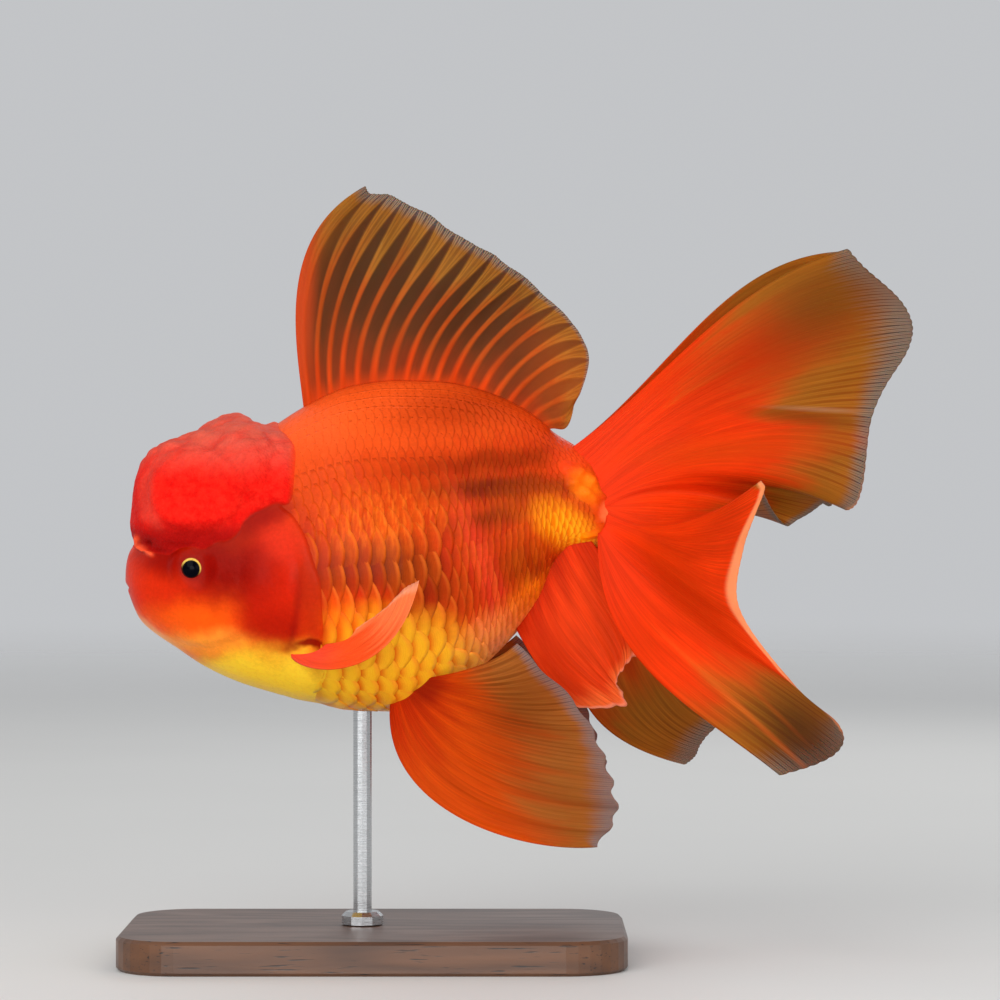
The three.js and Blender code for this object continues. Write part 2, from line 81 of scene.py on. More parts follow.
# Soft lobes on the side of the hood: X and Z, how far each reaches along and up, and how high it stands.
HOOD_LUMPS = [
    (-41.3, 112.3, 10.6, 9.6, 0.8), (-24.6, 117, 5.4, 8, 0.75), (-54, 112, 2, 7, 0.35),
    (-53.8, 104.2, 2.6, 3.2, 0.45), (-47.5, 100, 3.6, 2.3, 0.4), (-40.4, 100.6, 3.2, 2.2, 0.4),
    (-34.2, 102.6, 3.2, 2.4, 0.4), (-33, 123, 4.4, 2, 0.5), (-40.5, 124.2, 3.2, 1.4, 0.4),
    (-47.5, 121.4, 3, 1.7, 0.4), (-27.8, 126, 3, 1.6, 0.4), (-36.5, 127, 2.8, 1.2, 0.35)]
EYE_TURN = math.radians(5)  # how far each eye looks forward
EYE_LOW, EYE_HIGH = (np.array(corner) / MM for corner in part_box("eye_left"))
EYE = {"x": (EYE_LOW[0] + EYE_HIGH[0]) / 2 + 0.4, "z": 93.9, "out": 16.8, "radius": 4.4, "ring": 2.6}
EYE["seat"] = math.sqrt(EYE["radius"] ** 2 - EYE["ring"] ** 2)  # how far out of its middle the skin meets it

# Lines on the side of the head, in X and Z.
GILL_EDGE = [(-22.5, 111), (-21.5, 108.5), (-18.2, 105.7), (-15.3, 100.8), (-13.4, 95.2), (-11.8, 90.3),
             (-11.6, 85.6), (-11.6, 78), (-14.5, 71), (-20, 65.5)]
GILL_PLATE_LINE = [(-19.6, 102), (-17.6, 96.5), (-17, 90), (-17.4, 84), (-18.8, 77.5), (-20.5, 73)]
CHEEK_LINE = [(-30.8, 104.8), (-30.4, 97), (-30.3, 90.2), (-30.8, 85.5), (-28.9, 79.2), (-26.1, 77.3)]
JAW_LINE = [(-48, 77.5), (-44, 75.2), (-39, 74.8), (-33.1, 76.4), (-28.4, 77.8)]
HOOD_EDGE = [(-64, 98.8), (-57.5, 98.6), (-53.5, 97.5), (-50.3, 97.2), (-48.3, 97), (-46.3, 97.6),
             (-44.6, 98.6), (-42.1, 98.9), (-39.8, 98.3), (-37.9, 99.1), (-36.2, 100.1), (-33.9, 100.3),
             (-32, 101.5), (-30.8, 103), (-30, 104.6), (-28, 106.5), (-25.3, 107.8), (-22.4, 109),
             (-19.8, 109), (-18.9, 111), (-18.6, 115), (-18.8, 122.7), (-20.4, 125.2), (-22.9, 127.6),
             (-23.6, 131), (-23.5, 140)]
HOOD_BROW = [(-52.6, 106), (-53.6, 110.5), (-53, 115), (-49.6, 118.4), (-45.4, 119.4), (-40.4, 121.6),
             (-35.4, 122.8), (-32.2, 120.8), (-31.4, 115.7), (-32, 110), (-32.4, 105.8)]
HOOD_FRONT_FOLD = [(-50.4, 122), (-53, 116.5), (-53.2, 108.2), (-51.4, 104.2), (-50.6, 101.6)]
HOOD_FRINGE_LINE = [(-51.4, 103.6), (-48.6, 104.4), (-46, 103.4), (-41.4, 104.3), (-37, 104.1),
                    (-32.6, 104.6)]
NOSTRIL_LINE = [(-55.4, 101), (-55.6, 99.6), (-54.4, 98.7), (-53.4, 97.6), (-52.2, 97)]
NOSTRIL_PIT = (-52.8, 99.6)
WRINKLE_RISE = (math.cos(math.radians(25)), math.sin(math.radians(25)))  # how the crown's wrinkles run
# Beads and lumps round the root of the tail: X, Z and radius.
STALK_BEADS = [
    (56.3, 106.8, 1.7), (55, 110.6, 1.3), (55.6, 103.4, 1.3), (53.2, 101.6, 1.2), (54.2, 104.6, 1.1),
    (53.6, 107.6, 1.1), (50.6, 101, 1.1), (47.6, 114.2, 1.9), (50.6, 111.8, 1.8), (49.2, 116.8, 1.7),
    (52.4, 114.8, 1.5), (52.6, 110.2, 1.4), (46.4, 117.6, 1.5)]


def smooth_through(knots, values):
    """A smooth curve through the points that never swings past them."""
    slope = np.diff(values) / np.diff(knots)
    before, after = slope[:-1], slope[1:]
    product = before * after
    inner = np.where(product > 0, 2 * product / np.where(product > 0, before + after, 1), 0)
    tangent = np.concatenate([slope[:1], inner, slope[-1:]])

    def at(where):
        i = np.clip(np.searchsorted(knots, where, side="left") - 1, 0, len(knots) - 2)
        width = knots[i + 1] - knots[i]
        u = np.clip((where - knots[i]) / width, 0, 1)
        return (values[i] * (1 + 2 * u) * (1 - u) ** 2 + values[i + 1] * (3 - 2 * u) * u ** 2
                + width * u * (1 - u) * (tangent[i] * (1 - u) - tangent[i + 1] * u))
    return at


def station_of(x):
    reach = np.clip((np.asarray(x) - SNOUT_X) / (TAIL_ROOT_X - SNOUT_X), 0, 1)
    return np.arccos(1 - 2 * reach) / math.pi


STATIONS = station_of(BODY_SECTIONS[:, 0])
back_at, belly_at, half_at = (smooth_through(STATIONS, BODY_SECTIONS[:, k]) for k in (1, 2, 3))


def body_point(x, turn, side=LEFT):
    """A point of the body's surface: turn is 90 degrees at the back and -90 at the belly."""
    station = station_of(x)
    up, across = np.sin(turn), np.cos(turn)
    back, belly = back_at(station), belly_at(station)
    y = side * half_at(station) * across * (1 - BACK_TAPER * up)
    return np.stack([np.broadcast_to(x, y.shape), y, (back + belly) / 2 + (back - belly) / 2 * up], -1)


def on_side(x, z, side):
    """The point of the body's side at X and Z."""
    station = station_of(x)
    back, belly = back_at(station), belly_at(station)
    up = min(max((2 * z - back - belly) / (back - belly), -1), 1)
    return body_point(x, math.asin(up), side)


def eye_axis(side):
    return np.array([-math.sin(EYE_TURN), side * math.cos(EYE_TURN), 0])


def eye_middle(side):
    return np.array([EYE["x"], side * EYE["out"], EYE["z"]])


def step_up(low, high, value):
    """0 below low, 1 above high, smooth between."""
    u = np.clip((value - low) / (high - low), 0, 1)
    return u * u * (3 - 2 * u)


def hump(value, width):
    return np.exp(-(value / width) ** 2)


# ---------------------------------------------------------------- curves and meshes


def curve_through(points, where):
    """A Catmull-Rom curve through points of any number of axes, at where from 0 to 1."""
    points = np.asarray(points, float)
    padded = np.concatenate([[2 * points[0] - points[1]], points, [2 * points[-1] - points[-2]]])
    place = np.clip(where, 0, 1) * (len(points) - 1)
    i = np.clip(np.floor(place).astype(int), 0, len(points) - 2)
    t = (place - i)[..., None]
    p0, p1, p2, p3 = (padded[i + k] for k in range(4))
    m1, m2 = (p2 - p0) / 2, (p3 - p1) / 2
    return ((2 * t ** 3 - 3 * t ** 2 + 1) * p1 + (t ** 3 - 2 * t ** 2 + t) * m1
            + (3 * t ** 2 - 2 * t ** 3) * p2 + (t ** 3 - t ** 2) * m2)


def line_on_side(points, place, pieces=60):
    """How far place (X and Z) is behind a line on the side of the fish, and how far along the line it is."""
    line = curve_through(points, np.linspace(0, 1, pieces + 1))
    best = np.full(len(place), np.inf)
    signed, along = np.zeros(len(place)), np.zeros(len(place))
    for k in range(pieces):
        span = line[k + 1] - line[k]
        to_place = place - line[k]
        t = np.clip(to_place @ span / (span @ span), 0, 1)
        away = to_place - t[:, None] * span
        distance = np.hypot(away[:, 0], away[:, 1])
        nearer = distance < best
        cross = span[0] * to_place[:, 1] - span[1] * to_place[:, 0]
        best = np.where(nearer, distance, best)
        signed = np.where(nearer, np.sign(cross) * distance, signed)
        along = np.where(nearer, (k + t) / pieces, along)
    return signed, along


def grid_faces(rows, columns, closed=False):
    """Quads of a grid of rows by columns; closed joins its last column to its first."""
    i, j = np.meshgrid(np.arange(rows - 1), np.arange(columns if closed else columns - 1), indexing="ij")
    k = (j + 1) % columns
    quads = [i * columns + j, i * columns + k, (i + 1) * columns + k, (i + 1) * columns + j]
    return np.stack(quads, -1).reshape(-1, 4)


def shell_faces(rows, columns):
    """Faces of a sheet: a front and a back of rows by columns of points, and last the walls round its rim."""
    each = rows * columns
    front = grid_faces(rows, columns)
    rim = np.concatenate([np.arange(columns), np.arange(1, rows) * columns + columns - 1,
                          (rows - 1) * columns + np.arange(columns - 2, -1, -1),
                          np.arange(rows - 2, 0, -1) * columns])
    next_rim = np.roll(rim, -1)
    wall = np.stack([rim, rim + each, next_rim + each, next_rim], -1)
    return np.concatenate([front, front[:, ::-1] + each, wall])


def faced_out(points, faces):
    """The faces of a closed form, turned round if they look inward."""
    a, b, c, d = (points[faces[:, k]] for k in range(4))
    size = (np.einsum("ij,ij->i", a, np.cross(b, c)) + np.einsum("ij,ij->i", a, np.cross(c, d))).sum()
    return faces[:, ::-1] if size < 0 else faces


def make_mesh(name, points, faces, values=None, maps=None):
    """A smooth mesh object from points in millimetres, with a number on each point and maps of U and V."""
    mesh = bpy.data.meshes.new(name)
    mesh.vertices.add(len(points))
    mesh.vertices.foreach_set("co", (np.asarray(points) * MM).astype(np.float32).ravel())
    corners = faces.shape[1]
    mesh.loops.add(faces.size)
    mesh.loops.foreach_set("vertex_index", faces.astype(np.int32).ravel())
    mesh.polygons.add(len(faces))
    mesh.polygons.foreach_set("loop_start", np.arange(0, faces.size, corners, dtype=np.int32))
    mesh.polygons.foreach_set("use_smooth", np.ones(len(faces), bool))
    mesh.update(calc_edges=True)
    for key, value in (values or {}).items():
        kind, channel = ("FLOAT", "value") if value.ndim == 1 else ("FLOAT_VECTOR", "vector")
        mesh.attributes.new(key, kind, "POINT").data.foreach_set(channel, value.astype(np.float32).ravel())
    for key, value in (maps or {}).items():
        spread = value[faces.ravel()].astype(np.float32)
        mesh.uv_layers.new(name=key).data.foreach_set("uv", spread.ravel())
    piece = bpy.data.objects.new(name, mesh)
    bpy.context.scene.collection.objects.link(piece)
    return piece


def finish_piece(piece, material, slot, *nodes):
    piece.data.materials.append(material)
    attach(piece, BODY)
    if nodes:
        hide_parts(*nodes)
    return piece


# ---------------------------------------------------------------- shader tools


def paint(code):
    """A hex colour as the linear colour that a shader wants."""
    channels = [int(code[k:k + 2], 16) / 255 for k in (0, 2, 4)]
    return tuple(c / 12.92 if c <= 0.04045 else ((c + 0.055) / 1.055) ** 2.4 for c in channels) + (1.0,)


def fill(tree, inputs, values):
    """Fill in inputs: a socket is linked, a hex code is a colour, and anything else is set as it is."""
    for key, value in values.items():
        if isinstance(value, bpy.types.NodeSocket):
            tree.links.new(value, inputs[key])
        else:
            inputs[key].default_value = paint(value) if isinstance(value, str) else value


def add(tree, kind, inputs=None, **settings):
    """A node with its settings and inputs, of which the outputs are handed back."""
    made = tree.nodes.new("ShaderNode" + kind)
    for key, value in settings.items():
        setattr(made, key, value)
    fill(tree, made.inputs, inputs or {})
    return made.outputs


def math_node(tree, operation, *values, clamp=False):
    return add(tree, "Math", dict(enumerate(values)), operation=operation, use_clamp=clamp)[0]


def times(tree, product, *others):
    for other in others:
        product = math_node(tree, "MULTIPLY", product, other)
    return product


def plus(tree, total, *others):
    for other in others:
        total = math_node(tree, "ADD", total, other)
    return total


def minus(tree, first, second):
    return math_node(tree, "SUBTRACT", first, second)


def blend_colour(tree, share, first, second):
    return add(tree, "Mix", {"Factor": share, 6: first, 7: second}, data_type="RGBA")[2]


def toned(tree, colour, **values):
    """A colour with another hue, saturation or value."""
    return add(tree, "HueSaturation", {"Color": colour, **values})[0]


def ramp(tree, value, low, high, out_low=0.0, out_high=1.0):
    return add(tree, "MapRange", {"Value": value, "From Min": low, "From Max": high, "To Min": out_low,
                                  "To Max": out_high}, interpolation_type="SMOOTHSTEP")[0]


def noise(tree, place, scale, detail=2.0, roughness=0.5, gives="Fac", **more):
    return add(tree, "TexNoise", {"Vector": place, "Scale": scale, "Detail": detail, "Roughness": roughness,
                                  **more})[gives]


def stretched(tree, place, scale):
    return add(tree, "Mapping", {"Vector": place, "Scale": scale})[0]


def bumped(tree, height, strength, distance):
    return add(tree, "Bump", {"Height": height, "Strength": strength, "Distance": distance})[0]


def number_on_mesh(tree, name):
    return add(tree, "Attribute", attribute_name=name)["Fac"]


def own_place(tree):
    return add(tree, "TexCoord")["Object"]


def place_on_fish(tree):
    """The place of a point, in millimetres."""
    return add(tree, "VectorMath", {0: own_place(tree), "Scale": 1 / MM}, operation="SCALE")[0]


KINDS = {"number": "NodeSocketFloat", "colour": "NodeSocketColor", "vector": "NodeSocketVector"}


def new_group(name, takes, gives):
    """A shader group; takes lists its inputs as name, kind and usual value, and gives its outputs."""
    tree = bpy.data.node_groups.new(name, "ShaderNodeTree")
    for label, kind, usual in takes:
        socket = tree.interface.new_socket(name=label, in_out="INPUT", socket_type=KINDS[kind])
        socket.default_value = paint(usual) if kind == "colour" else usual
    for label, kind in gives:
        tree.interface.new_socket(name=label, in_out="OUTPUT", socket_type=KINDS[kind])
    return tree, tree.nodes.new("NodeGroupInput").outputs, tree.nodes.new("NodeGroupOutput").inputs


def use_group(tree, group, inputs):
    made = tree.nodes.new("ShaderNodeGroup")
    made.node_tree = group
    fill(tree, made.inputs, inputs)
    return made.outputs


def new_material(name, **plain):
    """A material, its tree and the inputs of its one Principled shader, with plain values set on them."""
    material = bpy.data.materials.new(name)
    material.use_nodes = True
    tree = material.node_tree
    shader = tree.nodes["Principled BSDF"].inputs
    for key, value in plain.items():
        shader[key.replace("_", " ")].default_value = value
    return material, tree, shader


# ---------------------------------------------------------------- shared effects


def soft_patch_group():
    tree, take, give = new_group("soft_patch", [
        ("Place", "vector", (0, 0, 0)), ("Centre", "vector", (0, 0, 0)), ("Reach", "vector", (1, 1, 1)),
        ("Turn", "number", 0), ("Softness", "number", 0.5), ("Strength", "number", 1)], [("Mask", "number")])
    offset = add(tree, "VectorMath", {0: take["Place"], 1: take["Centre"]}, operation="SUBTRACT")[0]
    turned = add(tree, "VectorRotate", {"Vector": offset, "Angle": take["Turn"]}, rotation_type="Y_AXIS")[0]
    scaled = add(tree, "VectorMath", {0: turned, 1: take["Reach"]}, operation="DIVIDE")[0]
    length = add(tree, "VectorMath", {0: scaled}, operation="LENGTH")["Value"]
    outer, inner = plus(tree, 1.0, take["Softness"]), minus(tree, 1.0, take["Softness"])
    fill(tree, give, {"Mask": times(tree, ramp(tree, length, outer, inner), take["Strength"])})
    return tree


# Each patch of colour: what it is, its colour, centre X and Z, reach along and across, turn in degrees,
# softness and strength.
COLOUR_PATCHES = [
    ("back", "f4541a", (0, 131), (34, 12), 4, 0.5, 0.9),
    ("shoulder", "fa5a26", (-17, 120), (11, 15), 0, 0.6, 0.85),
    ("back shade", "b43004", (20, 131.5), (15, 5), 6, 0.8, 0.8),
    ("flank red", "bc2e06", (14, 103), (46, 20), 6, 0.5, 0.85),
    ("front flank", "d23c08", (-12, 108), (13, 12), 0, 0.7, 0.7),
    ("upper band", "8a2002", (29, 119), (18, 2.4), 6, 0.8, 0.75),
    ("middle band", "701a02", (31, 112.5), (17, 2.7), 2, 0.7, 0.9),
    ("lower band", "7a2002", (30, 106.2), (12, 2.2), 14, 0.8, 0.8),
    ("brown flank", "9c2402", (-2, 93.5), (15, 6.5), 2, 0.7, 0.9),
    ("olive flank", "8c2a02", (10, 92.5), (12, 5.5), -35, 0.7, 0.75),
    ("gold flecks", "dc4808", (2, 105), (13, 6), 8, 0.8, 0.5),
    ("low red", "d43606", (-4, 85.5), (9, 3), 0, 0.7, 0.7),
    ("diagonal band", "dc381c", (26.5, 93.5), (2.6, 17), 22, 0.8, 0.8),
    ("rear brown", "9a3802", (36, 94), (6, 5), 0, 0.8, 0.7),
    ("stalk orange", "e0580a", (44.3, 104.2), (10.5, 6), -28, 0.9, 0.75),
    ("stalk gold", "ff8a04", (46.2, 102.8), (7, 3.8), -34, 0.85, 1.0),
    ("stalk spot", "fa7810", (50.3, 113.3), (4.6, 3.2), -50, 0.6, 0.9),
    ("vent gold", "f87410", (37, 86.5), (6.5, 3.8), 48, 0.6, 0.85),
    ("stalk end", "c83408", (57.5, 112), (2.4, 8), 0, 0.5, 0.8),
    ("stalk bead", "f06a38", (56.3, 106.8), (2.2, 2.2), 0, 0.4, 0.8),
    ("stalk top", "f24418", (50, 122), (8, 4), 28, 0.6, 0.8),
    ("rump", "ff8240", (28, 75), (13, 6), 30, 0.6, 1.0),
    ("belly gold", "ffb024", (2, 70.5), (20, 12), 2, 0.45, 0.95),
    ("fin pocket", "ee4806", (-9, 79), (9, 6), 10, 0.6, 0.9),
    ("throat", "ffcc30", (-27, 66), (24, 9.5), 8, 0.4, 1.0),
    ("front cheek", "c42206", (-49, 90), (13, 11), 0, 0.5, 0.9),
    ("snout", "cc2a0c", (-58, 92), (4, 9), 0, 0.7, 0.7),
    ("cheek orange", "ee540a", (-43, 80.5), (14, 4.8), 4, 0.8, 0.95),
    ("cheek low", "fc9830", (-42, 76.2), (13, 2.6), 6, 0.8, 0.85),
    ("jaw cream", "ffc080", (-53, 78.2), (6.5, 1.7), -40, 0.95, 0.8),
    ("gill red", "bc1804", (-23, 91), (8.5, 16), 0, 0.5, 0.92),
    ("gill strip", "a82206", (-14, 87), (2.8, 16), 4, 0.7, 0.85),
    ("gill shine", "d02c14", (-21.5, 101), (4.5, 6), 20, 0.8, 0.6),
    ("gill shade", "a01202", (-22.5, 80.5), (6.5, 4.5), -10, 0.7, 0.8),
    ("cheek crimson", "800200", (-34.5, 94), (10.5, 8), -10, 0.7, 0.97),
    ("brow", "880400", (-46, 96), (9, 4), 0, 0.7, 0.85),
    ("nape shade", "8a0602", (-26.5, 105.5), (8, 3.2), 26, 0.7, 0.85),
    ("pocket shade", "7c0a02", (-14, 76.2), (4.4, 1.4), 6, 0.5, 0.95),
]
GOLD_PATCHES = ("belly gold", "stalk gold")
PATCH = soft_patch_group()
ALL_THROUGH = 1e6  # a patch seen from the side reaches through the whole fish


def with_patch(tree, place, colour, code, centre, reach, turn, softness, share):
    """A colour with a soft patch of another over it, as seen from the side, and the patch's mask."""
    mask = use_group(tree, PATCH, {
        "Place": place, "Centre": (centre[0], 0, centre[1]), "Reach": (reach[0], ALL_THROUGH, reach[1]),
        "Turn": math.radians(turn), "Softness": softness, "Strength": share})["Mask"]
    return blend_colour(tree, mask, colour, code), mask


def goldfish_colours_group():
    """The colours of the body, the same for the skin and for the scales over it."""
    tree, take, give = new_group(
        "goldfish_colours", [("Place", "vector", (0, 0, 0)), ("Wander", "number", 1.2)],
        [("Colour", "colour"), ("Gold", "number"), ("Flecks", "number")])
    swirl = noise(tree, take["Place"], 0.16, 3.0, gives="Color")
    centred = add(tree, "VectorMath", {0: swirl, 1: (0.5, 0.5, 0.5)}, operation="SUBTRACT")[0]
    drift = add(tree, "VectorMath", {0: centred, "Scale": times(tree, take["Wander"], 4.0)},
                operation="SCALE")[0]
    moved = add(tree, "VectorMath", {0: take["Place"], 1: drift}, operation="ADD")[0]
    colour, masks = "d83c0c", {}
    for label, *patch in COLOUR_PATCHES:
        colour, masks[label] = with_patch(tree, moved, colour, *patch)
    fine = noise(tree, take["Place"], 1.1, 5.0, 0.7)
    fill(tree, give, {
        "Colour": toned(tree, colour, Value=ramp(tree, fine, 0.3, 0.7, 0.93, 1.09)),
        "Gold": math_node(tree, "MAXIMUM", *(masks[label] for label in GOLD_PATCHES)),
        "Flecks": masks["gold flecks"]})
    return tree


def wet_grain_group():
    """Fine pores and slow swells, as a height for a bump."""
    tree, take, give = new_group("wet_grain", [("Place", "vector", (0, 0, 0)), ("Fine", "number", 1.4),
                                               ("Swell", "number", 0.35)], [("Height", "number")])
    fine = noise(tree, take["Place"], take["Fine"], 4.0, 0.6)
    swell = noise(tree, take["Place"], take["Swell"], 1.0)
    fill(tree, give, {"Height": plus(tree, times(tree, fine, 0.4), swell)})
    return tree


WARM_GLOSS = (1.0, 0.62, 0.42, 1.0)
GOLDFISH_COLOURS = goldfish_colours_group()
WET_GRAIN = wet_grain_group()


def skin_material():
    material, tree, shader = new_material(
        "wet_red_skin", Subsurface_Weight=0.15, Subsurface_Scale=0.003, Subsurface_Radius=(1.0, 0.2, 0.08),
        Coat_Roughness=0.15, Specular_IOR_Level=0.05, Specular_Tint=WARM_GLOSS)
    place = place_on_fish(tree)
    hood, crease, pale, dusky, flap = (
        number_on_mesh(tree, key) for key in ("hood", "crease", "pale", "dusky", "flap"))
    mottle = ramp(tree, noise(tree, place, 0.5, 5.0, 0.65), 0.3, 0.7)
    hood_red = blend_colour(tree, mottle, "d40c08", "e62014")
    # The pale mask: partly the hood's own lighter red, partly painted highlight on the brow, the front fold
    # and the crown.
    hood_red = blend_colour(tree, pale, hood_red, "d45e4a")
    hood_red = blend_colour(tree, dusky, hood_red, "a40c0a")
    hood_red = toned(tree, hood_red, Value=ramp(tree, noise(tree, place, 1.6, 4.0), 0.3, 0.7, 0.94, 1.05))
    body_colour = use_group(tree, GOLDFISH_COLOURS, {"Place": place})["Colour"]
    colour = blend_colour(tree, flap, blend_colour(tree, hood, body_colour, hood_red), "ff5a34")
    # Painted shade: the crease mask darkens creases, grooves, the nostril pits, the mouth's slit, the edge of
    # the gill cover, the line round each eye and the skin under the hood's edge towards a deep red, for the
    # shade in them.
    painted_crease_shade = blend_colour(tree, 0.8, colour, "7c0604")
    speck = add(tree, "TexVoronoi", {"Vector": place, "Scale": 0.55})["Distance"]
    pimple = add(tree, "TexVoronoi", {"Vector": place, "Scale": 1.7}, feature="SMOOTH_F1")["Distance"]
    across_fringe = stretched(tree, place, (1.1, 0.3, 0.15))
    pleat = add(tree, "TexWave", {"Vector": across_fringe, "Scale": 0.8, "Distortion": 1.5},
                bands_direction="X")["Fac"]
    height = plus(tree, use_group(tree, WET_GRAIN, {"Place": place})["Height"],
                  times(tree, ramp(tree, speck, 0.14, 0.02), 0.3), times(tree, pimple, -1.7, hood),
                  times(tree, pleat, 0.8, dusky))
    fill(tree, shader, {
        "Base Color": blend_colour(tree, crease, colour, painted_crease_shade),
        "Normal": bumped(tree, height, 0.3, 0.0005), "Roughness": ramp(tree, hood, 0, 1, 0.36, 0.55),
        "Coat Weight": ramp(tree, hood, 0, 1, 0.025, 0.0)})
    return material


def scale_material():
    material, tree, shader = new_material(
        "gold_red_scales", Subsurface_Weight=0.1, Subsurface_Scale=0.0015,
        Subsurface_Radius=(1.0, 0.25, 0.08), Coat_Weight=0.03, Coat_Roughness=0.12, Specular_IOR_Level=0.07,
        Specular_Tint=WARM_GLOSS)
    place = place_on_fish(tree)
    root_place = add(tree, "Attribute", attribute_name="root_place")["Vector"]
    own = add(tree, "Mix", {"Factor": 0.2, 4: place, 5: root_place}, data_type="VECTOR")[1]
    marks = use_group(tree, GOLDFISH_COLOURS, {"Place": own, "Wander": 1.1})
    along, across, chance, relief = (
        number_on_mesh(tree, key) for key in ("along", "across", "chance", "relief"))
    spread = times(tree, minus(tree, chance, 0.5), relief)
    colour = toned(tree, marks["Colour"], Value=ramp(tree, spread, -0.5, 0.5, 0.9, 1.1),
                   Hue=ramp(tree, spread, -0.5, 0.5, 0.497, 0.505))
    streak = noise(tree, stretched(tree, place, (1.5, 0.4, 0.35)), 1.0, 4.0)
    fleck = times(tree, marks["Flecks"], ramp(tree, streak, 0.42, 0.68),
                  ramp(tree, along, 0.4, 0.9, 0.35, 1.0))
    colour = blend_colour(tree, fleck, colour, "ff7c1c")
    # Each scale darkens towards its root: on the red flank a painted shade under the rim of the scale in
    # front, and in the gold fields the scales' own orange roots.
    root = blend_colour(tree, marks["Gold"], toned(tree, colour, Value=0.6, Saturation=1.05), "e8620a")
    colour = blend_colour(tree, times(tree, ramp(tree, along, 0.78, 0.45), relief), colour, root)
    centre = times(tree, ramp(tree, along, 0.5, 0.85), minus(tree, 1.0, times(tree, across, across)))
    colour = blend_colour(tree, times(tree, centre, marks["Gold"], 0.8), colour, "ffb41e")
    # Painted highlight: a lighter crescent along the upper part of each scale's free rim.
    rim = times(tree, ramp(tree, along, 0.8, 0.95), relief, ramp(tree, across, 0.6, -0.5, 0.1, 1.0),
                ramp(tree, chance, 0.1, 0.9, 0.25, 1.0))
    colour = blend_colour(tree, times(tree, rim, 0.5), colour, "ff7a28")
    rings = add(tree, "TexWave", {"Vector": add(tree, "CombineXYZ", {0: along})[0], "Scale": 5.0,
                                  "Distortion": 0.6})["Fac"]
    grain = use_group(tree, WET_GRAIN, {"Place": place, "Fine": 2.2})["Height"]
    height = math_node(tree, "MULTIPLY_ADD", rings, times(tree, relief, 0.13), grain)
    fill(tree, shader, {"Base Color": colour, "Normal": bumped(tree, height, 0.25, 0.0004),
                        "Roughness": ramp(tree, chance, 0, 1, 0.28, 0.42)})
    return material


# ---------------------------------------------------------------- skin


def round_form(points):
    """Points and faces of a form of rings, of which the first and the last meet in a point."""
    rows, columns = points.shape[:2]
    return points.reshape(-1, 3), grid_faces(rows, columns, closed=True)


def all_round(columns):
    """Turns all round a ring."""
    return np.linspace(0, 2 * math.pi, columns, endpoint=False)[None, :]


def body_form(rows=340, columns=280):
    station = np.linspace(0, 1, rows)[:, None]
    x = SNOUT_X + (TAIL_ROOT_X - SNOUT_X) * (1 - np.cos(math.pi * station)) / 2
    x, turn = (np.broadcast_to(value, (rows, columns)) for value in (x, all_round(columns)))
    return round_form(body_point(x, turn))


def ball_directions(rows, columns):
    """Directions out of the middle of a ball, in rings from its top to its foot."""
    down, turn = np.linspace(0, math.pi, rows)[:, None], all_round(columns)
    return np.stack([np.sin(down) * np.cos(turn), np.sin(down) * np.sin(turn),
                     np.broadcast_to(np.cos(down), (rows, columns))], -1)


def hood_reach(direction):
    """How far the hood's skin reaches from its middle in each direction."""
    total = np.zeros(direction.shape[:-1])
    for centre, radii in HOOD_LOBES:
        start = (HOOD_CENTRE - np.array(centre)) / radii
        heading = direction / radii
        square = (heading ** 2).sum(-1)
        half = heading @ start
        inside = half ** 2 - square * (start @ start - 1)
        reach = np.where(inside > 0, (np.sqrt(np.maximum(inside, 0)) - half) / square, 0)
        total += np.maximum(reach, 0) ** HOOD_BLEND
    up = np.degrees(np.arctan2(direction[..., 2], direction[..., 0])) % 360
    beside = np.hypot(direction[..., 0], direction[..., 2])
    return total ** (1 / HOOD_BLEND) + beside ** 2 * np.interp(up, HOOD_TRIM[:, 0], HOOD_TRIM[:, 1])


def hood_form():
    direction = ball_directions(180, 240)
    return round_form(HOOD_CENTRE + direction * hood_reach(direction)[..., None])


def bead_form(centre, radius):
    return round_form(np.array(centre) + ball_directions(12, 16) * radius)


def bead_row(path, radii, count):
    """Beads along a path, close enough to melt into one soft roll."""
    share = np.linspace(0, 1, count)
    places = curve_through(path, share)
    sizes = np.interp(share, np.linspace(0, 1, len(radii)), radii)
    return [bead_form(place, size) for place, size in zip(places, sizes)]


UPPER_LIP = [(-58.9, 0, 90.8), (-58.4, -3, 90.4), (-57.3, -5.8, 89)]
LOWER_LIP = [(-57.9, 0, 87.7), (-57.5, -2.8, 87.6), (-56.7, -5.4, 87.6)]
LIP_RADII, LIP_BEADS = (1.15, 1.1, 0.8), 12
VOXEL = 0.7
FINE_CENTRE = np.array([-46.0, 0.0, 99.0])
FINE_GAIN, FINE_REACH = 22.0, 20.0


def enlarged(points, back=False):
    """Points pushed out from the middle of the head, so that one size of mesh gives the head finer detail."""
    offset = points - FINE_CENTRE
    distance = np.linalg.norm(offset, axis=-1, keepdims=True)
    plain = np.linspace(0, 400, 4001)
    pushed = plain + FINE_GAIN * np.tanh(plain / FINE_REACH)
    known, wanted = (pushed, plain) if back else (plain, pushed)
    return FINE_CENTRE + offset * np.interp(distance, known, wanted) / np.maximum(distance, 1e-9)


def join_forms(forms):
    points, faces, start = [], [], 0
    for more_points, more_faces in forms:
        points.append(more_points)
        faces.append(more_faces + start)
        start += len(more_points)
    return np.concatenate(points), np.concatenate(faces)


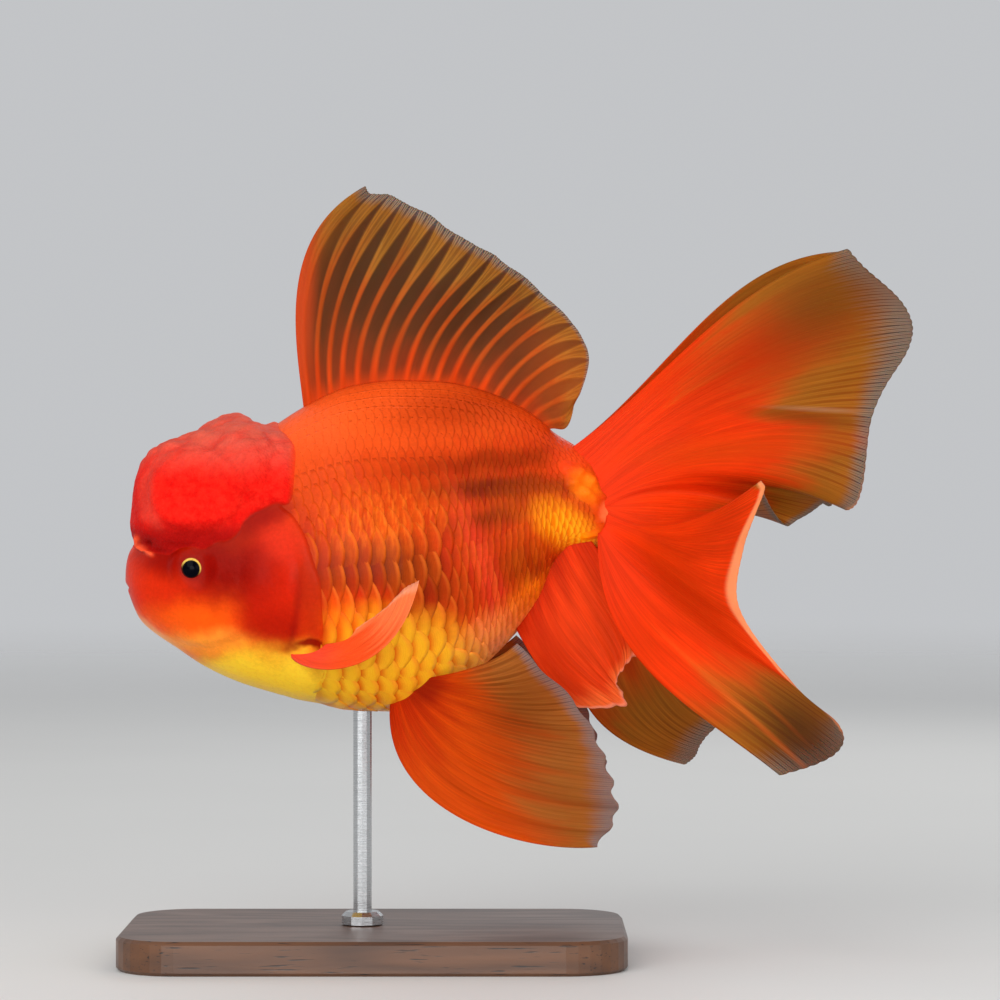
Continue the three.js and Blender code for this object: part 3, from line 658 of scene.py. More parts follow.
def melted(name, forms, voxel):
    """One skin over forms that pass through each other."""
    points, faces = join_forms(forms)
    piece = make_mesh(name, points, faces)
    remesh = piece.modifiers.new("melt", "REMESH")
    remesh.mode = "VOXEL"
    remesh.voxel_size = voxel * MM
    remesh.adaptivity = 0
    depsgraph = bpy.context.evaluated_depsgraph_get()
    mesh = bpy.data.meshes.new_from_object(piece.evaluated_get(depsgraph))
    bpy.data.objects.remove(piece)
    points = np.empty(len(mesh.vertices) * 3, np.float32)
    mesh.vertices.foreach_get("co", points)
    corners = np.empty(len(mesh.loops), np.int32)
    mesh.loops.foreach_get("vertex_index", corners)
    bpy.data.meshes.remove(mesh)
    return points.reshape(-1, 3).astype(float) / MM, corners.reshape(-1, 4)


def eased(points, faces, rounds, share=0.5):
    """Points drawn towards the middle of their neighbours, by one share or by a share for each."""
    edges = np.concatenate([faces[:, [k, (k + 1) % 4]] for k in range(4)])
    count = np.bincount(edges[:, 0], minlength=len(points))[:, None]
    for _ in range(rounds):
        middle = np.stack([np.bincount(edges[:, 0], points[edges[:, 1], axis], len(points))
                           for axis in range(3)], -1) / count
        points = points + (middle - points) * share
    return points


def normals_of(points, faces):
    across = np.cross(points[faces[:, 2]] - points[faces[:, 0]], points[faces[:, 3]] - points[faces[:, 1]])
    total = np.stack([np.bincount(faces.ravel(), np.repeat(across[:, axis], 4), len(points))
                      for axis in range(3)], -1)
    return total / np.maximum(np.linalg.norm(total, axis=1, keepdims=True), 1e-12)


def knob_pattern(points, spacing, seed):
    """Distance to the nearest of many scattered points: 0 at the middle of a knob, about 1 between knobs."""
    low, high = points.min(0), points.max(0)
    cells = np.floor((points - low) / spacing).astype(int)
    shape = cells.max(0) + 3
    jitter = np.random.default_rng(seed).random((*shape, 3))
    best = np.full(len(points), np.inf)
    for step in np.ndindex(3, 3, 3):
        cell = cells + np.array(step)
        seeds = low + (cell - 1 + jitter[cell[:, 0], cell[:, 1], cell[:, 2]]) * spacing
        best = np.minimum(best, ((points - seeds) ** 2).sum(1))
    return np.clip(np.sqrt(best) / (0.75 * spacing), 0, 1)


# Grooves on the side of the head: the line, how deep and wide the groove is, how high, how far behind it
# and how wide the flesh beside it swells, how much painted shade darkens the groove, and where along the
# line it fades in and out.
GROOVES = [
    (GILL_PLATE_LINE, 0.35, 1.0, 0.25, -2.2, 2.2, 0.6, (0.1, 0.55), (1.0, 0.9)),
    (CHEEK_LINE, 0.08, 1.5, 0.12, 3.0, 2.8, 0.1, (0.0, 0.15), (1.0, 0.85)),
    (JAW_LINE, 0.3, 1.2, 0.3, 2.4, 2.2, 0.0, (0.0, 0.2), (1.0, 0.8)),
]
HOOD_GROOVES = [
    (HOOD_BROW, 0.2, 1.0, 0, 1.6, 1.6, 0.1, (0.0, 0.15), (1.0, 0.8)),
    (HOOD_FRONT_FOLD, 0.25, 1.0, 0.25, 1.6, 1.5, 0.15, (0.0, 0.3), (1.0, 0.7)),
    (HOOD_FRINGE_LINE, 0.12, 0.6, 0.1, 1.2, 1.2, 0.1, (0.0, 0.1), (1.0, 0.9)),
]
MOUTH_Z, MOUTH_DROOP = 89.2, 0.03  # the height of the mouth, and how it bends down to the sides
HOOD_REAR_X = (-36, -27)  # where the front of the hood turns into its rear
HOOD_MERGES_Z = (108, 117)  # where the hood runs out into the shoulder without a step
CROWN_Z = (115, 122)  # where the side of the hood turns into the wrinkled crown
CROWN_BACK_Z = (120, 126)  # from where on up a dip parts the hood from the back


def groove_relief(grooves, place):
    """How far grooves and the swells beside them move the skin, and how much painted shade darkens them."""
    shift, dark = np.zeros(len(place)), np.zeros(len(place))
    for line, deep, wide, high, behind, swell, shade, fade_in, fade_out in grooves:
        away, along = line_on_side(line, place)
        shown = step_up(*fade_in, along) * (1 - step_up(fade_out[1], fade_out[0], along))
        shift += shown * (high * hump(away - behind, swell) - deep * hump(away, wide))
        dark = np.maximum(dark, shown * shade * hump(away, wide))
    return shift, dark


def hood_pattern(points, flank, crown):
    """How far lobes, pimples, wrinkles and grooves move the hood's skin, how much painted shade darkens it,
    and its wrinkles.
    """
    x, y, z = points.T
    groove_shift, groove_dark = groove_relief(HOOD_GROOVES, points[:, [0, 2]])
    knob, small_knob = knob_pattern(points, 3.4, seed=5), knob_pattern(points, 1.5, seed=9)
    uphill = x * WRINKLE_RISE[0] + z * WRINKLE_RISE[1]
    across_hill = z * WRINKLE_RISE[0] - x * WRINKLE_RISE[1]
    wrinkle = knob_pattern(np.stack([0.42 * uphill, 0.7 * y, across_hill], -1), 2.7, seed=14)
    shift, lobe_rim = flank * groove_shift, np.zeros(len(points))
    for lobe_x, lobe_z, long, high, stands in HOOD_LUMPS:
        away = np.hypot((x - lobe_x) / long, (z - lobe_z) / high)
        shift += flank * stands * step_up(1 + 1.2 / long, 1 - 1.6 / long, away)
        lobe_rim = np.maximum(lobe_rim, flank * hump((away - 1.03) * min(long, high), 0.7))
    shift += ((0.12 + 0.2 * crown) * (1 - knob ** 2) + (0.1 + 0.08 * crown) * (1 - small_knob ** 2)
              + (0.06 + 0.55 * crown) * (1 - wrinkle ** 2))
    # Painted shade in the hood's grooves, round the edges of its lobes and in the valleys between the crown's
    # wrinkles.
    dark = np.maximum(np.maximum(flank * groove_dark, 0.18 * lobe_rim), (0.02 + 0.12 * crown) * wrinkle ** 5)
    return shift, dark, wrinkle


def hood_tones(x, z, place, wrinkle):
    """How pale and how dusky the red of the hood is."""
    on_brow, along_brow = line_on_side(HOOD_BROW, place)
    on_fold, along_fold = line_on_side(HOOD_FRONT_FOLD, place)
    # Paler along the brow and the front fold: a painted highlight on those ridges. Paler on the crown: partly
    # the crown's own lighter red, partly a painted highlight where light falls on its top.
    pale = np.maximum(0.3 * hump(on_brow - 0.3, 1.3) * step_up(0.75, 0.5, along_brow),
                      0.3 * hump(on_fold - 0.8, 1.6) * step_up(0, 0.2, along_fold))
    pale = np.maximum(pale, (0.9 - 0.35 * wrinkle ** 3) * step_up(113, 126, z))
    fringe = step_up(106.5, 101.5, z) * step_up(-29, -33, x)
    fold = step_up(-51, -55, x) * step_up(118, 110, z)
    return pale, np.maximum(fringe, 0.3 * fold)


def sink_under_scales(shift, crease, y, place, hood):
    """The edge of the gill cover, and the skin behind it that lies lower because scales cover it."""
    behind, along = line_on_side(GILL_EDGE, place)
    at_throat = step_up(0.72, 0.9, along)
    trunk = (1 - hood) * ((1 - at_throat) * step_up(-0.2, 0.5, behind) + at_throat * step_up(1, 9, behind))
    gill = step_up(0.02, 0.16, along) * step_up(0, 8, np.abs(y)) * (1 - hood) * (1 - at_throat)
    shift = shift + gill * (0.12 * hump(behind + 1.2, 1.8) * (1 - trunk) - 0.2 * trunk * hump(behind, 3))
    # The crease mask takes painted shade along the edge of the gill cover.
    return shift - SCALE_DEPTH * trunk, np.maximum(crease, gill * hump(behind - 0.4, 0.6) * 0.4)


def seat_eyes(shift, crease, points):
    """Flat seats of skin that meet the eyes, each with a line of painted shade round it where the skin meets
    the eye.
    """
    y = points[:, 1]
    beside = step_up(10, 13, np.abs(y))
    for side, _ in SIDES:
        offset = points - eye_middle(side)
        outward = offset @ eye_axis(side)
        from_eye = np.linalg.norm(offset - outward[:, None] * eye_axis(side), axis=1)
        here = beside * (y * side > 0)
        seat = here * step_up(6.6, 2.8, from_eye)
        shift = shift * (1 - seat) + seat * (EYE["seat"] - outward)
        crease = np.maximum(crease * (1 - seat), here * hump(from_eye - EYE["ring"], 0.35) * 0.6)
    return shift, crease


def raise_nostrils(shift, crease, points, place):
    """A small flap and a pit on each side of the snout, the pit darkened with painted shade, and how much a
    point lies on a flap.
    """
    x, y, z = points.T
    from_flap, along_flap = line_on_side(NOSTRIL_LINE, place)
    front = step_up(4, 6, np.abs(y))
    flap = front * hump(from_flap, 0.75 * (1 - 0.35 * along_flap))
    pit = front * hump(np.hypot(x - NOSTRIL_PIT[0], (z - NOSTRIL_PIT[1]) * 0.8), 0.75)
    return shift + flap - pit, np.maximum(crease * (1 - flap), 0.95 * pit), flap


def cut_mouth(shift, crease, points):
    x, y, z = points.T
    slit = z - (MOUTH_Z - MOUTH_DROOP * y ** 2)
    at_mouth = step_up(-54.6, -57.2, x) * step_up(7, 5, np.abs(y))
    # The slit of the mouth is darkened with painted shade.
    return shift - 0.7 * at_mouth * hump(slit, 0.5), np.maximum(crease, 0.8 * at_mouth * hump(slit, 0.45))


def skin_relief(points):
    """How far the skin stands out or in at each point, with the masks that its material reads."""
    x, y, z = points.T
    place = points[:, [0, 2]]
    flank = step_up(3, 8, np.abs(y))
    inside_hood, _ = line_on_side(HOOD_EDGE, place, pieces=160)
    hood = step_up(-0.2, 0.35, inside_hood)
    rear = step_up(*HOOD_REAR_X, x)
    merges = rear * step_up(*HOOD_MERGES_Z, z)
    shift = hood * (0.3 + 0.8 * rear * flank * (1 - 0.75 * merges)) * (
        1 - np.exp(-np.maximum(inside_hood, 0) / (1.2 + 1.2 * merges)))
    shift -= 0.5 * step_up(*CROWN_BACK_Z, z) * hump(inside_hood + 0.3, 1.5)
    # Painted shade under the lower edge of the hood, fading where the hood runs into the shoulder.
    crease = flank * (1 - 0.85 * merges) * np.maximum(
        0.6 * hump(inside_hood + 0.2, 0.6), 0.35 * step_up(120, 110, z) * hump(inside_hood + 1.3, 1.6))
    pattern_shift, pattern_dark, wrinkle = hood_pattern(points, flank, step_up(*CROWN_Z, z))
    shift, crease = shift + hood * pattern_shift, np.maximum(crease, hood * pattern_dark)
    shift, crease = sink_under_scales(shift, crease, y, place, hood)
    side_shift, side_dark = groove_relief(GROOVES, place)
    on_side_of_head = flank * (1 - hood)
    shift, crease = shift + side_shift * on_side_of_head, np.maximum(crease, side_dark * on_side_of_head)
    shift, crease = seat_eyes(shift, crease, points)
    shift, crease, flap = raise_nostrils(shift, crease, points, place)
    shift, crease = cut_mouth(shift, crease, points)
    pale, dusky = hood_tones(x, z, place, wrinkle)
    red = step_up(-0.2 - 1.4 * merges, 0.35 + 0.9 * merges, inside_hood)
    return shift, {"hood": red, "crease": np.clip(crease, 0, 1), "pale": hood * pale, "dusky": hood * dusky,
                   "flap": np.clip(flap * 1.2, 0, 1)}


def fish_skin(material):
    forms = [body_form(), hood_form()]
    for side, _ in SIDES:
        for path in (UPPER_LIP, LOWER_LIP):
            forms += bead_row(np.array(path) * (1, -side, 1), LIP_RADII, LIP_BEADS)
        forms += [bead_form(on_side(x, z, side), radius) for x, z, radius in STALK_BEADS]
    points, faces = melted("skin_form", [(enlarged(form), face) for form, face in forms], VOXEL)
    points = eased(enlarged(points, back=True), faces, 5)
    on_hood = step_up(0, 3, line_on_side(HOOD_EDGE, points[:, [0, 2]])[0])[:, None]
    points = eased(points, faces, 130, 0.5 * on_hood)
    shift, masks = skin_relief(points)
    points = points + normals_of(points, faces) * shift[:, None]
    points = eased(points, faces, 1, 0.3)
    piece = make_mesh("fish_skin", points, faces, masks)
    return finish_piece(piece, material, "head_skin", "head", "jaw", "hood", "trunk", "caudal_peduncle",
                        *(f"{part}_{label}" for part in ("gill_cover", "nostril_flap") for _, label in SIDES))


# ---------------------------------------------------------------- scales

# How high rows of scales are along the way down from the back to the belly: fine, then tall, then broad.
ROW_SHARE = (0, 0.15, 0.3, 0.44, 0.5, 0.62, 0.75, 1)
ROW_HEIGHT = (3.2, 3.5, 3.9, 4.5, 6.2, 6.4, 5.2, 4.6)
COATS = (("upper", 0, 0.47), ("lower", 0.47, 1.01))  # each with the shares of the way down that it covers
SCALE_STEPS = 7  # how finely each scale is cut
# Where the scales come out from under the hood and the gill cover, in X and Z.
SCALES_BEGIN = [(-23.5, 135), (-23.2, 130), (-22.4, 127), (-19.8, 124.6), (-18.6, 122), (-18.4, 115),
                (-18.7, 111), (-19.4, 108.6), (-17.9, 105.9), (-15.1, 100.9), (-13.2, 95.3), (-11.7, 90.4),
                (-11.4, 85.7), (-11.4, 78), (-14.3, 71.2), (-19.8, 65.7)]
SCALE_END_X = 57.4
SCALE_PATCH = 0.003  # how wide each scale is on the OFBake map
SCALE_LENGTH, SCALE_AHEAD = 2.05, 0.95  # how long a scale is and how far its root lies ahead, in pitches
SCALE_HALF_HEIGHT = 1.08  # in rows
NUDGE = 0.2  # how far off the points lie that tell the slope of the side


def girth_table(columns=240, rows=181):
    """For each X, the turn at each share of the way down the side from back to belly."""
    xs = np.linspace(SNOUT_X + 1, TAIL_ROOT_X - 0.2, columns)
    turns = np.linspace(math.pi / 2, -math.pi / 2, rows)
    points = body_point(np.broadcast_to(xs[:, None], (columns, rows)),
                        np.broadcast_to(turns[None, :], (columns, rows)))
    steps = np.linalg.norm(np.diff(points, axis=1), axis=2)
    length = np.concatenate([np.zeros((columns, 1)), np.cumsum(steps, axis=1)], axis=1)
    share = np.linspace(0, 1, rows)
    turn = np.stack([np.interp(share * length[k, -1], length[k], turns) for k in range(columns)])
    return xs, share, turn, length[:, -1]


GIRTH_X, GIRTH_SHARE, GIRTH_TURN, GIRTH_LENGTH = girth_table()


def flank_point(x, down, side):
    """The body's surface at X and at a share of the way down from back to belly."""
    column = np.interp(x, GIRTH_X, np.arange(len(GIRTH_X)))
    row = np.clip(down, 0, 1) * (len(GIRTH_SHARE) - 1)
    i = np.clip(column.astype(int), 0, len(GIRTH_X) - 2)
    j = np.clip(row.astype(int), 0, len(GIRTH_SHARE) - 2)
    u, v = column - i, row - j
    turn = ((GIRTH_TURN[i, j] * (1 - u) + GIRTH_TURN[i + 1, j] * u) * (1 - v)
            + (GIRTH_TURN[i, j + 1] * (1 - u) + GIRTH_TURN[i + 1, j + 1] * u) * v)
    point = body_point(x, turn, side)
    over = np.where(down < 0, -down, np.where(down > 1, down - 1, 0)) * np.interp(x, GIRTH_X, GIRTH_LENGTH)
    point[..., 1] -= side * over  # past the middle line, onto the other side
    return point


def flank_normals(x, down, girth, surface, side):
    """Directions straight out of the body's side."""
    toward_tail = flank_point(np.minimum(x + NUDGE, TAIL_ROOT_X - 0.3), down, side) - surface
    toward_belly = flank_point(x, down + NUDGE / girth[:, None], side) - surface
    normal = np.cross(toward_tail, toward_belly) * -side
    normal /= np.maximum(np.linalg.norm(normal, axis=-1, keepdims=True), 1e-9)
    return normal * (np.sign((normal[..., 1] * side).mean()) or 1.0)


def fine_behind(x, down):
    """1 on the rear flank and the stalk, where the scales are narrow and lie flat."""
    high_enough = np.maximum(step_up(0.88, 0.74, down), step_up(20, 28, x))
    return step_up(13, 25, x) * step_up(0.1, 0.24, down) * high_enough


def scale_pitch(x, down):
    """How far apart scales of one row are: small at the stalk and the back, large on the belly."""
    base = np.interp(x, (-25, -8, 12, 30, 44, 57), (2.8, 3.1, 3.3, 3.0, 2.2, 1.4))
    upper = np.interp(down, (0.1, 0.34, 0.5), (0.62, 0.68, 1))
    belly = 1 + 0.42 * step_up(0.6, 0.8, down) * step_up(34, 18, x)
    fine = fine_behind(x, down)
    return base * upper * belly * (1 - fine) + np.interp(x, (14, 44, 57), (1.5, 1.4, 1.1)) * fine


def scale_relief(x, down):
    """How boldly scales stand out: hardly at all on the back, and fully on the flank and the belly."""
    bold = 0.01 + 0.99 * np.interp(down, (0.14, 0.29, 0.42, 0.52), (0, 0.05, 0.4, 1))
    fine = fine_behind(x, down)
    return bold * (0.5 + 0.5 * step_up(-20, -4, x)) * (1 - 0.6 * fine) + 0.16 * fine


def row_start(down):
    """Where a row comes out from under the hood or the gill cover, or begins behind the smooth throat."""
    edge = curve_through(SCALES_BEGIN, np.linspace(0, 1, 80))
    share = np.linspace(0, 1, 60)
    z = np.interp(down, share, flank_point(np.full(60, -18.0), share, LEFT)[:, 2])
    order = np.argsort(edge[:, 1])
    return np.interp(z, edge[order, 1], edge[order, 0]) - 0.6 + 12 * step_up(0.82, 0.93, down)


def scale_rows():
    """Share of the way down of each row, and its height as a share of the girth at the deepest place."""
    fine = np.linspace(0, 1, 2001)
    height = np.interp(fine, ROW_SHARE, ROW_HEIGHT)[:-1]
    count = np.concatenate([[0], np.cumsum(GIRTH_LENGTH.max() / height / 2000)])
    rows = int(round(count[-1]))
    middles = np.interp((np.arange(rows) + 0.5) * count[-1] / rows, count, fine)
    edges = np.interp(np.arange(rows + 1) * count[-1] / rows, count, fine)
    return list(zip(middles, np.diff(edges)))


def scale_places(side, seed):
    """Root X, share of the way down, pitch, row height and a random number for each scale."""
    random = np.random.default_rng(seed)
    places = []
    for row, (down, height) in enumerate(scale_rows()):
        x = row_start(down) - (0.5 * scale_pitch(row_start(down), down) if row % 2 else 0)
        while x < SCALE_END_X:
            pitch = float(scale_pitch(x, down))
            places.append((x, down, pitch, height, random.random()))
            x += pitch * (0.96 + 0.08 * random.random())
    return np.array(places)


def scales(side, label, coat, from_share, to_share, material):
    """One coat of solid scales, each a small sheet with a front, a back and a rim."""
    places = scale_places(side, seed=31 + side)
    x0, down0, pitch, height, chance = places[(places[:, 1] >= from_share) & (places[:, 1] < to_share)].T
    count = len(x0)
    columns = SCALE_STEPS + 1
    share = np.linspace(0, 1, columns)
    along, across = (part.ravel() for part in np.meshgrid(share, 2 * share - 1, indexing="ij"))
    reach = along * (1 - 0.42 * across ** 2)
    tangent = np.linalg.norm(flank_point(x0 + 0.5, down0, side) - flank_point(x0 - 0.5, down0, side), axis=1)
    x = x0[:, None] - SCALE_AHEAD * pitch[:, None] + reach * (SCALE_LENGTH * pitch / tangent)[:, None]
    x = np.minimum(x, TAIL_ROOT_X - 0.4)
    down = down0[:, None] + across * (SCALE_HALF_HEIGHT * height)[:, None]
    surface = flank_point(x, down, side)
    normal = flank_normals(x, down, np.interp(x0, GIRTH_X, GIRTH_LENGTH), surface, side)
    relief = scale_relief(x0, down0)
    size = np.clip(pitch / 3.3, 0.45, 1.25) * relief
    lift = -0.2 + 0.6 * along + 0.12 * np.sin(math.pi * along) - 0.2 * across ** 2
    top = SCALE_REST - SCALE_DEPTH + lift * size[:, None]
    thick = (0.014 + 0.166 * relief[:, None]) * (1 - 0.5 * along)
    front, back = (surface + normal * rise[..., None] for rise in (top, top - thick))
    points = np.concatenate([front, back], axis=1).reshape(-1, 3)
    each = 2 * columns ** 2
    one = shell_faces(columns, columns)
    if side == RIGHT:
        one = one[:, ::-1]
    faces = (one[None] + (np.arange(count) * each)[:, None, None]).reshape(-1, 4)
    both_along, both_across = np.tile(along, 2), np.tile(across, 2)
    map_x = 0.02 + 0.44 * (x0 - SNOUT_X) / (TAIL_ROOT_X - SNOUT_X) + (0.5 if side == RIGHT else 0)
    root = np.stack([map_x, 0.02 + 0.95 * down0], -1)
    patch = root[:, None] + SCALE_PATCH * np.stack([both_along, both_across / 2], -1)[None]
    piece = make_mesh(f"{coat}_scales_{label}", points, faces, {
        "root_place": np.repeat(flank_point(x0, down0, side), each, axis=0),
        "along": np.tile(both_along, count), "across": np.tile(both_across, count),
        "chance": np.repeat(chance, each), "relief": np.repeat(relief, each)},
        {"OFBake": patch.reshape(-1, 2)})
    rounded = np.ones((count, len(one)), bool)
    rounded[:, 2 * SCALE_STEPS ** 2:] = False  # the walls of a rim stay flat, so that its edge stays crisp
    piece.data.polygons.foreach_set("use_smooth", rounded.ravel())
    return finish_piece(piece, material, "scaled_skin")


# ---------------------------------------------------------------- fins

# Four rows give each fin its form: at the root, a third and two thirds of the way out, and at the margin.
DORSAL_FIN = [
    [(-17, 0, 131), (-7, 0, 134.5), (6, 0, 137), (19, 0, 136), (31, 0, 132), (41, 0, 126.5)],
    [(-19, 0, 150), (-6, 1, 151.5), (10, -1, 150.5), (24, 1, 147), (37, 0, 139.5), (43.5, 0, 127)],
    [(-16.5, 0, 169.5), (0.5, 2, 167), (17, -1.5, 160.5), (31.5, 1.5, 155), (44.5, -1, 144.5),
     (45.5, 0, 127)],
    [(-3, 0, 185), (9, 3, 181), (25, -2, 170.5), (39, 2, 161), (51, -1.5, 146), (47.3, 0, 130)]]
PECTORAL_FIN = [
    [(-19.5, -18, 74), (-17, -18.5, 74.5), (-14.5, -19, 75), (-12, -19.5, 75.5)],
    [(-12, -30, 70.8), (-10, -28.5, 72.2), (-9, -27, 74.5), (-8.5, -25.5, 76.5)],
    [(1.4, -40, 74.5), (0.7, -37, 77), (-2, -33, 79), (-5.5, -29, 77.5)],
    [(11.5, -44, 91.5), (8, -40, 89.5), (3, -35, 84.5), (-3.5, -30, 80)]]
PELVIC_FIN = [
    [(4, -9, 61), (7.5, -10.5, 63), (9.5, -12, 64.5), (12, -13, 66), (13.5, -14, 68)],
    [(12, -19, 41.5), (21, -21, 47.5), (24, -21.5, 55), (24.5, -20.5, 62), (20, -18, 69.5)],
    [(32, -28, 31.5), (39.5, -31, 40.5), (39.5, -31, 50.5), (37.5, -28, 60), (27, -21, 72)],
    [(52.5, -36, 30), (57, -40, 39.5), (54.5, -38, 49), (49.5, -33, 60.5), (34, -22, 76.5)]]
ANAL_FIN = [
    [(34, -4, 79), (38.5, -4.5, 86), (41.5, -4, 93), (46, -3.5, 98.3), (52, -3, 100)],
    [(38, -9.5, 72), (43, -8, 76), (48, -8, 82), (52.5, -6.5, 87), (57, -5, 91)],
    [(43, -15, 65.5), (50, -12, 68.5), (54, -12, 73), (58, -10, 78), (60, -8, 82)],
    [(48.5, -19, 61), (59.5, -15, 61.5), (57.5, -14.5, 66.5), (59.5, -12.5, 70.5), (62.5, -11, 73.5)]]
TAIL_UPPER = [
    [(48, -2, 123), (51.5, -2.5, 119), (53.5, -3, 115), (55.5, -3.5, 112), (56, -4, 110), (56, -4, 109.3),
     (56.5, -4, 108.5), (56.5, -4.5, 107.4)],
    [(68.5, -4, 140.5), (73, -7, 137.5), (76, -10, 131), (77, -12.5, 124), (75, -13, 117), (73.5, -11, 114.2),
     (71.5, -9, 111), (68.5, -16, 104.5)],
    [(88, -8, 157.5), (97.5, -14, 152.5), (100.5, -20, 140), (98.5, -24, 128.5), (94, -24, 116),
     (91.5, -18, 112.7), (87, -13, 108.5), (79.5, -29.5, 107)],
    [(112.5, -12, 169.5), (124, -20, 158), (125, -26, 144.5), (116, -31, 128), (112.5, -30, 108.5),
     (107, -23, 109.8), (98.5, -15, 104.5), (90, -39, 112)]]
TAIL_LOWER = {
    LEFT: [
        [(57, -5, 105.8), (57, -5.5, 104.5), (56.5, -5.5, 103), (56, -5.5, 101.5), (55.5, -5.5, 100),
         (53.5, -5, 99)],
        [(69, -19, 103), (67.5, -18, 100.5), (66.5, -17, 96.5), (69, -18, 90), (71.5, -20, 82.5),
         (60, -18, 76)],
        [(80.5, -34, 106), (77, -30, 98), (76.5, -28, 89), (83, -31, 79), (90.5, -35, 68.5),
         (75.5, -32, 60.5)],
        [(91, -44, 112.5), (86, -37, 99), (86, -34, 84), (97, -39, 68.5), (109, -45, 55), (94, -44, 46.8)]],
    RIGHT: [
        [(57, 5, 105.8), (57, 5.5, 103), (55.5, 5, 100.5), (53.5, 4.5, 99)],
        [(69, 16, 95.5), (66, 18, 88), (59, 19, 79), (48, 18, 72)],
        [(79, 28, 88), (76, 31, 71), (67, 31, 60), (55.5, 29, 54)],
        [(88, 38, 85), (88, 42, 62), (82, 42, 49.5), (76, 39, 43.8)]]}
RIGHT_TOP_LIFT = (0, 1.8, 3.6, 1.2)  # how much higher the right tail's top edge stands, for each row


def tail_rows(side):
    """One sheet for each half of the tail: the upper lobe, its folded web and the lower lobe."""
    upper = [np.array(row, float) * (1, -side, 1) for row in TAIL_UPPER]
    if side == RIGHT:
        for row, lift in zip(upper, RIGHT_TOP_LIFT):
            row[:, 2] += lift * np.linspace(1, 0, len(row))
    return [np.concatenate([high, np.array(low, float)]) for high, low in zip(upper, TAIL_LOWER[side])]


def fin_rays(ray, out, count, first_split, second_split):
    """How much a point lies on a ray, 0 to 1; each ray forks twice, and its branches part slowly."""
    phase = ray * count
    offset = phase - np.floor(phase) - 0.5
    fork = 0.25 * np.clip((out - first_split) / (1 - first_split), 0, 1) ** 1.2
    again = 0.115 * np.clip((out - second_split) / (1 - second_split), 0, 1) ** 1.2
    away = np.abs(np.abs(np.abs(offset) - fork) - again)
    width = 0.17 - 0.12 * step_up(0.0, 0.95, out)
    return hump(away, width)


# Tones of each fin, from its front ray to its rear one: the way across, where along a ray the colour of the
# tips begins, how much of the end is clear hem, how much webbing shows, and how pale the rolled edge is.
DORSAL_TONES = [
    (0, 0.75, 0.04, 0.1, 0), (0.03, 0.55, 0.05, 0.6, 0), (0.07, 0.4, 0.06, 0.9, 0), (0.14, 0.4, 0.07, 1, 0),
    (0.5, 0.45, 0.06, 1, 0), (0.85, 0.5, 0.05, 0.85, 0), (1, 0.5, 0.04, 0.4, 0)]
PELVIC_TONES = [
    (0, 0.8, 0.02, 0.05, 0), (0.08, 0.6, 0.08, 0.15, 0), (0.3, 0.45, 0.13, 0.3, 0), (0.5, 0.45, 0.1, 0.5, 0),
    (0.7, 0.4, 0.08, 0.7, 0), (0.88, 0.3, 0.1, 0.8, 0), (1, 0.4, 0.06, 0.5, 0)]
SMALL_FIN_TONES = [(0, 0.6, 0.03, 0.2, 0.3), (0.5, 0.6, 0.03, 0.3, 0.3), (1, 0.6, 0.03, 0.3, 0.3)]
ANAL_TONES = [
    (0, 0.8, 0.02, 0.1, 0.5), (0.05, 0.7, 0.02, 0.5, 0.2), (0.3, 0.8, 0.02, 0.4, 0.35),
    (1, 0.8, 0.01, 0.2, 0.4)]
TAIL_TONES = {
    LEFT: [
        (0, 0.45, 0.04, 0.15, 0), (0.02, 0.3, 0.09, 0.3, 0), (0.08, 0.28, 0.14, 0.4, 0),
        (0.16, 0.34, 0.11, 0.6, 0), (0.24, 0.5, 0.07, 0.7, 0), (0.32, 0.62, 0.05, 0.6, 0.1),
        (0.38, 0.45, 0.05, 0.8, 0), (0.5, 0.45, 0.05, 0.9, 0), (0.57, 0.9, 0.01, 0.4, 0.25),
        (0.63, 1, 0, 0.4, 0.4), (0.74, 1, 0, 0.3, 0.9), (0.85, 1, 0, 0.3, 0.8), (0.9, 0.6, 0.04, 0.6, 0.3),
        (0.925, 0.5, 0.1, 0.8, 0), (1, 0.55, 0.1, 0.6, 0)],
    RIGHT: [
        (0, 0.35, 0.04, 0.4, 0), (0.1, 0.35, 0.16, 0.6, 0), (0.35, 0.5, 0.08, 0.8, 0),
        (0.62, 0.4, 0.06, 1, 0), (0.8, 0.3, 0.1, 0.7, 0), (0.92, 0.35, 0.1, 0.6, 0), (1, 0.5, 0.06, 0.3, 0)]}
